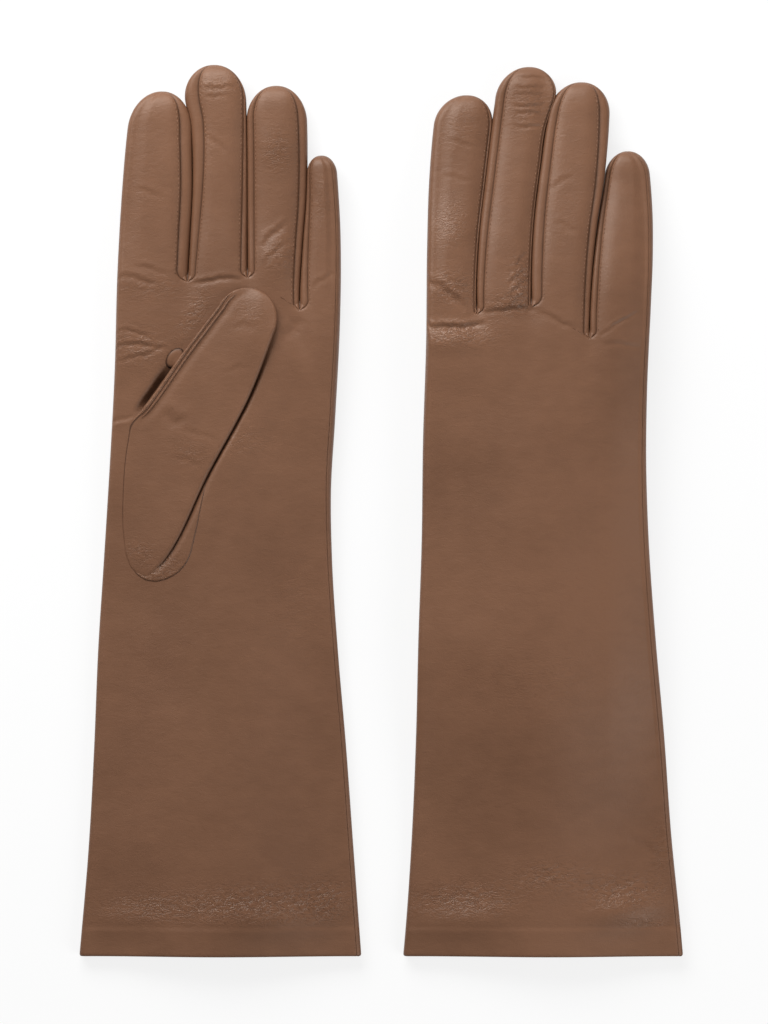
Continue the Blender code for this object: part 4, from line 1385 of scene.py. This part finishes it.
# %% The leaf's surface
THUMB_LOFT = smooth_line([
    (THUMB_HEEL, 0.0), (-8.8, 0.0), (0, 0.15), (15, 0.5), (35, 0.9), (60, 1.6), (85, 2.6), (109, 2.8),
])
THUMB_FILL = {"left": 1.0, "right": 2.8}
THUMB_SEAT_END = (36.0, 52.0)
THUMB_LEATHER = 0.35
THUMB_LIP, THUMB_LIP_WIDTH = 0.65, 0.9
LEAN_STEP = 0.05
HEEL_SINK, HEEL_RISES = 0.25, (-12.6, -10.2)
SEATED_DEPTH = 0.5
THUMB_FOLD, THUMB_FREE_EDGE = 1.7, 0.9
FREE_EDGE_LOFT = 0.62
WELT_VALLEY, WELT_VALLEY_AT, WELT_VALLEY_WIDTH = 0.4, 3.6, 1.5
FOLD_DIVE, FOLD_DIVE_END = 1.4, (45.0, 85.0)
THUMB_CREASES = [
    Crease((-14.5, 50.0), (-4.5, 49.0), 0.45, 2.4, -0.8),
    Crease((-6.0, 46.5), (11.0, 48.5), 0.20, 0.8, 0.5),
    Crease((-4.0, 35.5), (8.0, 36.5), 0.22, 0.9, 0.6),
    Crease((-9.0, 2.0), (4.0, -1.5), 0.22, 0.8, -0.5),
    Crease((-2.0, 92.0), (8.0, 95.0), 0.22, 1.4, 0.8),
    Crease((2.0, 74.0), (11.0, 80.0), 0.16, 1.0, 0.8),
]


def inside(line, across, along):
    """How far a place lies to the right of a slanting line, measured square to it."""
    lean = (line(along + LEAN_STEP) - line(along - LEAN_STEP)) / (2 * LEAN_STEP)
    return (across - line(along)) / np.hypot(1, lean)


def palm_level(plan, across, height):
    """The level of the leather that the thumb lies on, or under."""
    if plan.palm_up:
        return drape(plan, across, height) + upper_height(plan, across, height)
    return drape(plan, across, height)


def thumb_loft(plan, share, along, past):
    """How far the leaf's upper skin stands off the palm: level at the seat's seam, full along its fold."""
    free = ease(*THUMB_SEAT_END, along)
    seated = ease(0.05, 0.9, share)
    shape = free * (FREE_EDGE_LOFT + (1 - FREE_EDGE_LOFT) * ease(0, 0.8, share)) + (1 - free) * seated
    return THUMB_LOFT(along) * THUMB_FILL[plan.side] * shape * np.sqrt(np.clip(1 - past**3, 0, 1))


def thumb_point(plan, share, along, face="upper"):
    """A point of the leaf: share runs from its left seam to its right fold."""
    left, right, past = thumb_outline(along)
    free = ease(*THUMB_SEAT_END, along)
    limit = BAND_LIMIT * (right - left)
    low = left + np.minimum(THUMB_FREE_EDGE * free, limit)
    high = right - np.minimum(THUMB_FOLD, limit)
    across = low + (high - low) * share
    x, y = thumb_to_plan(plan, across, along)
    off = np.clip(inside(THUMB_LEFT, across, along) / THUMB_LIP_WIDTH, 0, 1)
    lip_sink = (1 - free) * THUMB_LIP * (1 - off) ** 2
    rise = THUMB_LEATHER - lip_sink - HEEL_SINK * (1 - ease(*HEEL_RISES, along))
    if face == "upper":
        loft = thumb_loft(plan, share, along, past)
        for crease in THUMB_CREASES:
            loft = loft + crease_relief(crease, across, along) * ease(0, 1, loft)
        beside = (across - left - WELT_VALLEY_AT) / WELT_VALLEY_WIDTH
        valley = WELT_VALLEY * np.exp(-(beside**2)) * free * (1 - past)
        rise = rise + loft - valley
    else:
        rise = rise - SEATED_DEPTH * (1 - free)
        rise = rise - FOLD_DIVE * (1 - ease(*FOLD_DIVE_END, along)) * ease(0.8, 1, share) * plan.palm_up
    level = palm_level(plan, x, y)
    level = level + rise if plan.palm_up else np.maximum(level - rise, TABLE_CLEARANCE)
    return np.stack([x, y, level], -1)


def thumb_wall(plan, side, rows, turns):
    """The leaf's rounded edge at one side."""
    share = 0.0 if side == "left" else 1.0
    along = rows[:, None]
    top = thumb_point(plan, np.full_like(along, share), along)
    bottom = thumb_point(plan, np.full_like(along, share), along, "lower")
    left, right, _ = thumb_outline(along)
    out = np.stack(thumb_to_plan(plan, left if side == "left" else right, along), -1)
    turn = np.asarray(turns)[None, :, None]
    swing, drop = roll_shares(turn)
    inner = np.where(turn < 0.5, top, bottom)[..., :2]
    level = top[..., 2:] + (bottom[..., 2:] - top[..., 2:]) * drop
    return np.concatenate([inner + (out - inner) * swing, level], -1)


print("leaf", round(float(THUMB_RIGHT(41.0) - THUMB_LEFT(41.0)), 1), "mm wide at the ball of the thumb")

# %% Building the thumbs
THUMB_COLUMNS = np.concatenate([[0, 0.015, 0.026, 0.04, 0.065], np.linspace(0.095, 0.93, 36), [0.97, 1.0]])
THUMB_ROWS = np.concatenate([
    THUMB_HEEL + np.array([0, 0.04, 0.1, 0.2, 0.34, 0.52, 0.75, 1.05, 1.4, 1.85, 2.4, 3.1, 3.9]),
    np.linspace(-8.4, 95.5, 104),
    THUMB_TIP - THUMB_TIP_ROUND * (1 - np.sin(np.linspace(0, np.pi / 2, 18))),
])
SEAT_SEAM_END = (44.0, 50.0)
THUMB_CRACKLE = [
    Swell((0.0, -4.0), (7.0, 5.0), 0.5),
    Swell((3.0, 100.0), (9.0, 7.0), 0.25),
    Swell((2.0, 40.0), (8.0, 6.0), 0.35),
]


def thumb_ring(plan, rows, columns=THUMB_COLUMNS, turns=WALL_TURNS):
    """The rows of the whole leaf, round its upper and its lower skin."""
    along = rows[:, None]
    upper = thumb_point(plan, columns[None], along)
    lower = thumb_point(plan, LOWER_COLUMNS[None], along, "lower")[:, ::-1]
    right = thumb_wall(plan, "right", rows, turns)[:, 1:-1]
    left = thumb_wall(plan, "left", rows, turns)[:, ::-1][:, 1:-1]
    return np.concatenate([upper, right, lower, left], 1)


def bend_with_thumb(item):
    """Bakes the piece's placement into its points."""
    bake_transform(item)
    return item


def build_thumb(plan):
    ring = thumb_ring(plan, THUMB_ROWS)
    shade = np.zeros(ring.shape[:2])
    # Painted shade along the seam where the leaf is sewn into its seat.
    seated = SEWN_SHADE * (1 - ease(*SEAT_SEAM_END, THUMB_ROWS))
    shade[:, 0] = shade[:, 1] = seated
    across, along = plan_to_thumb(plan, ring[..., 0], ring[..., 1])
    crackle = PLAIN_CRACKLE + sum(swell_relief(spot, across, along) for spot in THUMB_CRACKLE)
    if not plan.palm_up:
        ring, shade, crackle = ring[:, ::-1], shade[:, ::-1], crackle[:, ::-1]
    thumb = add_sheets(f"{plan.side}_thumb_skin", [in_row_frame(plan, ring)], NAPPA, True, [shade], [crackle])
    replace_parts(thumb, f"{plan.side}_thumb")
    return bend_with_thumb(thumb)


THUMBS = [build_thumb(plan) for plan in PLANS]
print("points on a thumb:", len(THUMBS[0].data.vertices))

# %% [markdown]
# Between the fold and the seam round the oval hole, a little of the thumb's other side shows. It could be
# part of the leaf's own mesh. Here it is a sheet of its own, sewn to the palm and held with the hand.

# %% The seat beside the fold
SEAT_TOP = 37.0
SEAT_EDGE = smooth_line([
    (THUMB_HEEL, 5.6), (-12.9, 7.3), (-12.4, 9.2), (-10.5, 12.4), (-7.5, 15.4), (-1.8, 18.1), (3, 18.5),
    (8.4, 17.7), (23.3, 14.6), (SEAT_TOP, 11.6),
])
SEAT_ROWS = THUMB_HEEL + (SEAT_TOP - THUMB_HEEL) * (1 - np.cos(np.linspace(0, np.pi / 2, 64)))
SEAT_OVERLAP = 5.0
SEAT_RISE, SEAT_DIVE, SEAT_LIP = 0.32, 0.25, 0.9
SEAT_SINK, SEAT_SLOPE, SEAT_NARROWS = 0.3, 1.5, (-10.0, -4.0)
SEAT_SEAM, SEAT_CRACKLE, SEAT_CRACKLE_END = (0.35, 0.8), 0.6, (-4.0, 8.0)
SEAT_EDGES = np.array([0, 0.01, 0.03, 0.055, 0.09, 0.13])
SEAT_SHARES = np.concatenate([SEAT_EDGES, np.linspace(0.18, 0.82, 11), 1 - SEAT_EDGES[::-1]])


def build_thumb_seat(plan):
    """The part of the thumb's leather that shows between its fold and the seam round its seat."""
    along = SEAT_ROWS[:, None]
    left, edge = THUMB_LEFT(along), SEAT_EDGE(along)
    inner = left + (THUMB_RIGHT(along) - SEAT_OVERLAP - left) * ease(*SEAT_NARROWS, along)
    inner = np.minimum(inner, edge - 0.2)
    across = inner + (edge - inner) * SEAT_SHARES[None]
    x, y = thumb_to_plan(plan, across, np.broadcast_to(along, across.shape))
    off = np.minimum(inside(THUMB_LEFT, across, along), -inside(SEAT_EDGE, across, along))
    rise = SEAT_RISE - (SEAT_RISE + SEAT_DIVE) * (1 - np.clip(off / SEAT_LIP, 0, 1)) ** 2
    rise = rise - SEAT_SINK * ease(*HEEL_RISES, along) * ease(0, SEAT_SLOPE, THUMB_RIGHT(along) - across)
    depth, dark = fold_crack(plan, x, y)
    level = palm_level(plan, x, y) + (rise - depth if plan.palm_up else -rise)
    # Painted shade along the seat's seam and in the crack under the fold.
    shade = np.maximum(SEWN_SHADE * (1 - ease(*SEAT_SEAM, off)), dark)
    crackle = SEAT_CRACKLE * np.ones(across.shape) * (1 - ease(*SEAT_CRACKLE_END, along))
    points = np.stack([x, y, level], -1)
    if not plan.palm_up:
        points, shade, crackle = points[:, ::-1], shade[:, ::-1], crackle[:, ::-1]
    placed = [in_row_frame(plan, points)]
    seat = add_sheets(f"{plan.side}_thumb_seat", placed, NAPPA, False, [shade], [crackle])
    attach(seat, f"{plan.side}_hand")


for plan in PLANS:
    build_thumb_seat(plan)
print("thumb seats:", len(PLANS), "of", len(SEAT_ROWS), "rows")

# %% [markdown]
# The thumb's free left edge is closed by a raised seam: a rolled strip of leather with a fine bead of
# stitching beside it. A round tube along a curve would do. Here each bead is a ring of points carried along
# the edge.

# %% The raised seam
class Bead(NamedTuple):
    """A bead along the thumb's edge: its inset, its radius low down and near the tip, and its rise."""

    inset: float
    low_radius: float
    high_radius: float
    rise: float


BEADS = (Bead(0.45, 0.85, 0.5, 0.1), Bead(2.1, 0.36, 0.40, 0.12))
BEAD_SIDES = 12
WELT_ALONG = np.linspace(44.5, 104.0, 110)
WELT_CHANGE = (68.0, 80.0)
WELT_TAPER, BEAD_SINK, WELT_CRACKLE = 5.0, 0.35, 0.5


def tube(path, radii, sides=BEAD_SIDES):
    """A grid of points round a path, with a radius at each of its points."""
    ahead = np.gradient(path, axis=0)
    ahead /= np.linalg.norm(ahead, axis=1)[:, None]
    side = np.cross(ahead, [0, 0, 1.0])
    side /= np.linalg.norm(side, axis=1)[:, None]
    up = np.cross(side, ahead)
    turn = np.linspace(0, 2 * np.pi, sides, endpoint=False)
    ring = np.cos(turn)[None, :, None] * side[:, None] - np.sin(turn)[None, :, None] * up[:, None]
    return path[:, None] + ring * np.asarray(radii)[:, None, None]


def build_welt(plan):
    left, right, past = thumb_outline(WELT_ALONG)
    ends = np.minimum(WELT_ALONG - WELT_ALONG[0], WELT_ALONG[-1] - WELT_ALONG)
    taper = np.sqrt(np.clip(ends / WELT_TAPER, 0.02, 1))
    sheets = []
    for bead in BEADS:
        across = left + bead.inset
        share = np.clip(bead.inset - THUMB_FREE_EDGE, 0, None) / (right - left)
        radius = bead.low_radius + (bead.high_radius - bead.low_radius) * ease(*WELT_CHANGE, WELT_ALONG)
        x, y = thumb_to_plan(plan, across, WELT_ALONG)
        rise = thumb_loft(plan, share, WELT_ALONG, past) + THUMB_LEATHER + bead.rise - BEAD_SINK * radius
        level = palm_level(plan, x, y)
        level = level + rise if plan.palm_up else np.maximum(level - rise, radius + TABLE_CLEARANCE)
        sheets.append(in_row_frame(plan, tube(np.stack([x, y, level], -1), radius * taper)))
    crackle = [np.full(sheet.shape[:2], WELT_CRACKLE) for sheet in sheets]
    welt = add_sheets(f"{plan.side}_thumb_welt", sheets, NAPPA, True, None, crackle)
    bend_with_thumb(welt)


for plan in PLANS:
    build_welt(plan)
print("beads on a raised seam:", len(BEADS))

# %% The thumb's quirk
TAB_PLACE = (-18.2, 71.4)
TAB_RADII = (3.0, 4.6)
TAB_TURN = math.radians(16.0)
TAB_RISE = 1.0
SLIVER_ALONG = (47.0, 71.0)
SLIVER_WIDTH = 2.2


def tab_points(plan):
    """A small round tab of leather, standing a little above the palm."""
    reach = np.sin(np.linspace(0.02, np.pi / 2, 9))[:, None]
    turn = -np.linspace(0, 2 * np.pi, 29)[None]
    right, up = TAB_RADII[0] * reach * np.cos(turn), TAB_RADII[1] * reach * np.sin(turn)
    across = TAB_PLACE[0] + right * math.cos(TAB_TURN) + up * math.sin(TAB_TURN)
    along = TAB_PLACE[1] + up * math.cos(TAB_TURN) - right * math.sin(TAB_TURN)
    x, y = thumb_to_plan(plan, across, along)
    rise = (TAB_RISE + 0.3) * np.sqrt(np.clip(1 - reach**4, 0, 1)) - 0.3 + 0 * turn
    # Painted shade round the tab's sewn rim.
    shade = ease(0.74, 0.92, reach) + 0 * turn
    return x, y, rise, shade


def sliver_points(plan):
    """The sunken strip between the raised seam and the palm."""
    share = np.linspace(0, 1, 24)[:, None]
    off = np.linspace(0, 1, 7)[None]
    along = SLIVER_ALONG[0] + (SLIVER_ALONG[1] - SLIVER_ALONG[0]) * share
    across = THUMB_LEFT(along) + 1.0 - (SLIVER_WIDTH * np.sin(np.pi * share) ** 0.5 + 0.6) * off
    x, y = thumb_to_plan(plan, across, along + 0 * off)
    rise = -SLIT_DEPTH * 0.6 * np.sin(np.pi * share) ** 0.5 + 0.5 * np.sin(np.pi * off) - 0.3 - 1.6 * off**3
    # The sunken sliver is coloured with painted shade.
    return x, y, rise, np.full(x.shape, 0.6)


def build_thumb_quirk(plan):
    """The small gusset beside the raised seam: a sunken sliver that ends in a round tab."""
    sheets, shades = [], []
    for x, y, rise, shade in (tab_points(plan), sliver_points(plan)):
        level = palm_level(plan, x, y) + (rise if plan.palm_up else -0.4 * np.abs(rise))
        sheets.append(in_row_frame(plan, np.stack([x, y, level], -1)))
        shades.append(shade)
    quirk = add_sheets(f"{plan.side}_thumb_quirk_tab", sheets, SIDE_NAPPA, False, shades)
    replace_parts(quirk, f"{plan.side}_thumb_quirk")
    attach(quirk, f"{plan.side}_hand")


for plan in PLANS:
    build_thumb_quirk(plan)
print("thumb quirks:", len(PLANS))

# %% [markdown]
# ## The lining
#
# Such gloves are lined with a fine knitted silk, sewn to the turned hem. Only a little of it shows, in
# the mouth of the cuff, but the whole lining is there: a sleeve in the hand, one in each finger and one
# in the thumb. Each follows the leather's own points a little further in, so it doesn't come through the
# leather.

# %% Building the linings
LINING_INSET = 1.9
FINGER_LINING_INSET = 1.3
LINING_COLUMNS = np.linspace(0, 1, 9)
LINING_TURNS = np.linspace(0, 1, 9)
HAND_LINING_TAUS = np.linspace(HEM_DEPTH - 2.0, 246, 60) / HAND_HEIGHTS[-1]
THUMB_LINING_ROWS = np.linspace(20.0, 103.0, 40)
THUMB_LINING_START = 0.56
FINGER_LINING_TAUS = np.concatenate([np.linspace(0.04, 0.82, 20), np.linspace(0.85, 0.972, 8)])


def finger_ring(plan, number, taus):
    tau = np.asarray(taus)[:, None]
    upper = strip_point(plan, number, LINING_COLUMNS[None], tau)
    lower = strip_point(plan, number, LINING_COLUMNS[None], tau, "lower")[:, ::-1]
    right = wall(plan, number, "right", taus, LINING_TURNS, 0.0)[:, 1:-1]
    left = wall(plan, number, "left", taus, LINING_TURNS, 0.0)[:, ::-1][:, 1:-1]
    return np.concatenate([upper, right, lower, left], 1)


def thumb_lining_ring(plan):
    """A flat sleeve inside the leaf, where it stands clear of the palm."""
    along = THUMB_LINING_ROWS[:, None]
    free = ease(*THUMB_SEAT_END, along)
    first = THUMB_LINING_START * (1 - free) + 0.25 * free
    share = first + (0.96 - first) * LINING_COLUMNS[None]
    upper, lower = thumb_point(plan, share, along), thumb_point(plan, share, along, "lower")
    thick = upper[..., 2:] - lower[..., 2:]
    ring = np.concatenate([lower[:, ::-1] + (0, 0, 1) * thick * 0.15, lower + (0, 0, 1) * thick * 0.6], 1)
    return ring[:, ::-1] if plan.palm_up else ring


def build_linings(plan):
    ring, _ = hand_ring(plan, HAND_LINING_TAUS, LINING_COLUMNS, LINING_COLUMNS, LINING_TURNS)
    points = in_row_frame(plan, inset_ring(ring, LINING_INSET))
    sleeve = add_sheets(f"{plan.side}_hand_silk", [points], SILK, True)
    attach(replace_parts(sleeve, f"{plan.side}_hand_lining"), f"{plan.side}_hand")
    made = [sleeve]
    for number, name in enumerate(FINGERS):
        ring = inset_ring(finger_ring(plan, number, FINGER_LINING_TAUS), FINGER_LINING_INSET)
        silk = add_sheets(f"{plan.side}_{name}_silk", [in_row_frame(plan, ring)], SILK, True)
        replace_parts(silk, f"{plan.side}_{name}_lining")
        made.append(bend_with_finger(silk))
    silk = add_sheets(f"{plan.side}_thumb_silk", [in_row_frame(plan, thumb_lining_ring(plan))], SILK, True)
    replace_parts(silk, f"{plan.side}_thumb_lining")
    made.append(bend_with_thumb(silk))
    return made


LININGS = [build_linings(plan) for plan in PLANS]
print("linings:", sum(len(made) for made in LININGS))

# %% [markdown]
# ## The stitches
#
# The finger seams are sewn with a fine silk thread, and its stitches show as tiny dashes just inside each
# edge. They could be a dotted texture. As small capsules of thread they catch light and cast a shadow.

# %% Sewing the seams
STITCH_LENGTH = 1.0
STITCH_PITCH = 1.75
STITCH_INSET = 0.75
STITCH_RADIUS = 0.15
STITCH_SINK = 0.05
STITCH_SIDES = 6
STITCH_SPAN = (0.03, 0.955)


def seam_path(plan, number, side, count=400):
    """Points just inside a finger's stitched edge."""
    tau = np.linspace(*STITCH_SPAN, count)
    start = finger_starts(plan, number, "upper")[0 if side == "left" else 1]
    height = start + (plan.tips[number].height - start) * tau
    left, right, _ = seams(plan, number, height, height - start, "upper")
    inset = np.minimum(STITCH_INSET / np.maximum(right - left, 0.1), 0.3)
    share = inset if side == "left" else 1 - inset
    return strip_point(plan, number, share, tau)


def stitches_along(path):
    """Short capsules of thread along a path."""
    steps = np.linalg.norm(np.diff(path, axis=0), axis=1)
    run = np.concatenate([[0], np.cumsum(steps)])
    made = []
    for begin in np.arange(0.4, run[-1] - STITCH_LENGTH, STITCH_PITCH):
        places = begin + STITCH_LENGTH * np.array([0.0, 0.08, 0.3, 0.7, 0.92, 1.0])
        points = np.stack([np.interp(places, run, path[:, axis]) for axis in range(3)], -1)
        points[:, 2] += STITCH_SINK * np.array([-3.0, 0.2, 1.0, 1.0, 0.2, -3.0])
        made.append(tube(points, STITCH_RADIUS * np.array([0.35, 0.8, 1.0, 1.0, 0.8, 0.35]), STITCH_SIDES))
    return made


def build_stitches(plan, number):
    sheets = []
    for side, _ in sewn_sides(number):
        sheets += [in_row_frame(plan, sheet) for sheet in stitches_along(seam_path(plan, number, side))]
    sewn = add_sheets(f"{plan.side}_{FINGERS[number]}_stitches", sheets, THREAD, True)
    bend_with_finger(sewn)
    return len(sheets)


print("stitches:", sum(build_stitches(plan, number) for plan in PLANS for number in range(len(FINGERS))))

# %% [markdown]
# ## Table, light and camera
#
# The gloves lie on a white table under broad soft light, a little stronger from the fingers' end, so the
# fingertips and creases catch it. The camera hangs straight above, far away with a long lens, as for a
# catalogue picture.

# %% The table
TABLE_GLOW = 0.8


def make_table():
    mesh = bpy.data.meshes.new("table")
    plane = bmesh.new()
    bmesh.ops.create_grid(plane, x_segments=1, y_segments=1, size=3.0)
    plane.to_mesh(mesh)
    plane.free()
    table = bpy.data.objects.new("table", mesh)
    bpy.context.scene.collection.objects.link(table)
    material = bpy.data.materials.new("white_table")
    material.use_nodes = True
    tree = material.node_tree
    shader = tree.nodes["Principled BSDF"]
    shader.inputs["Base Color"].default_value = (0.88, 0.88, 0.88, 1.0)
    shader.inputs["Roughness"].default_value = 0.9
    glow = tree.nodes.new("ShaderNodeEmission")
    seen = tree.nodes.new("ShaderNodeLightPath")
    mix = tree.nodes.new("ShaderNodeMixShader")
    rays = seen.outputs["Is Camera Ray"]
    for label in ("Is Glossy Ray", "Is Transmission Ray"):
        rays = math_node(tree, "MAXIMUM", rays, seen.outputs[label])
    tree.links.new(math_node(tree, "MULTIPLY", rays, TABLE_GLOW), mix.inputs["Fac"])
    tree.links.new(shader.outputs[0], mix.inputs[1])
    tree.links.new(glow.outputs[0], mix.inputs[2])
    tree.links.new(mix.outputs[0], tree.nodes["Material Output"].inputs["Surface"])
    mesh.materials.append(material)
    table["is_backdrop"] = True
    return table


print("table:", make_table().name)

# %% The light
WORLD_LEVEL = 0.22


def add_softbox(name, place, aim, size, watts):
    light = bpy.data.lights.new(name, "AREA")
    light.shape = "RECTANGLE"
    light.size, light.size_y = size
    light.energy = watts
    item = bpy.data.objects.new(name, light)
    item.location = place
    item.rotation_euler = (Vector(aim) - Vector(place)).to_track_quat("-Z", "Y").to_euler()
    bpy.context.scene.collection.objects.link(item)
    return item


world = bpy.data.worlds.new("studio")
bpy.context.scene.world = world
world.use_nodes = True
background = world.node_tree.nodes["Background"]
background.inputs["Color"].default_value = (1.0, 1.0, 1.0, 1.0)
background.inputs["Strength"].default_value = WORLD_LEVEL
add_softbox("finger_softbox", (-0.36, 0.82, 0.58), (0.0, 0.04, 0.0), (1.0, 0.6), 17.0)
add_softbox("fill_softbox", (1.1, -0.7, 0.8), (0.0, 0.0, 0.0), (0.9, 0.9), 11.0)

# %% The camera
PHOTO_HEIGHT = 1024
MM_A_PIXEL = 0.3915
PICTURE_CENTRE = (0.98, -0.59)
CAMERA_HEIGHT = 2000.0
SENSOR = 36.0
FOCUS_LEVEL = 10.0

camera_data = bpy.data.cameras.new("camera")
camera_data.type = "PERSP"
camera_data.sensor_fit = "AUTO"
camera_data.sensor_width = SENSOR
camera_data.lens = SENSOR * (CAMERA_HEIGHT - FOCUS_LEVEL) / (PHOTO_HEIGHT * MM_A_PIXEL)
camera_data.clip_end = 10.0
camera = bpy.data.objects.new("camera", camera_data)
camera.location = (PICTURE_CENTRE[0] * MM, PICTURE_CENTRE[1] * MM, CAMERA_HEIGHT * MM)
bpy.context.scene.collection.objects.link(camera)
bpy.context.scene.camera = camera
bpy.context.scene.view_settings.view_transform = "Standard"
print("lens", round(camera_data.lens, 1), "mm")

# %% Sizes and the finish
bpy.context.view_layer.update()
visual_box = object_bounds()
sizes = {"cad": [list(corner) for corner in cad_box], "visual": [list(corner) for corner in visual_box]}
for label, (lo, hi) in sizes.items():
    print(label, [round((b - a) / MM, 1) for a, b in zip(lo, hi)], "mm")
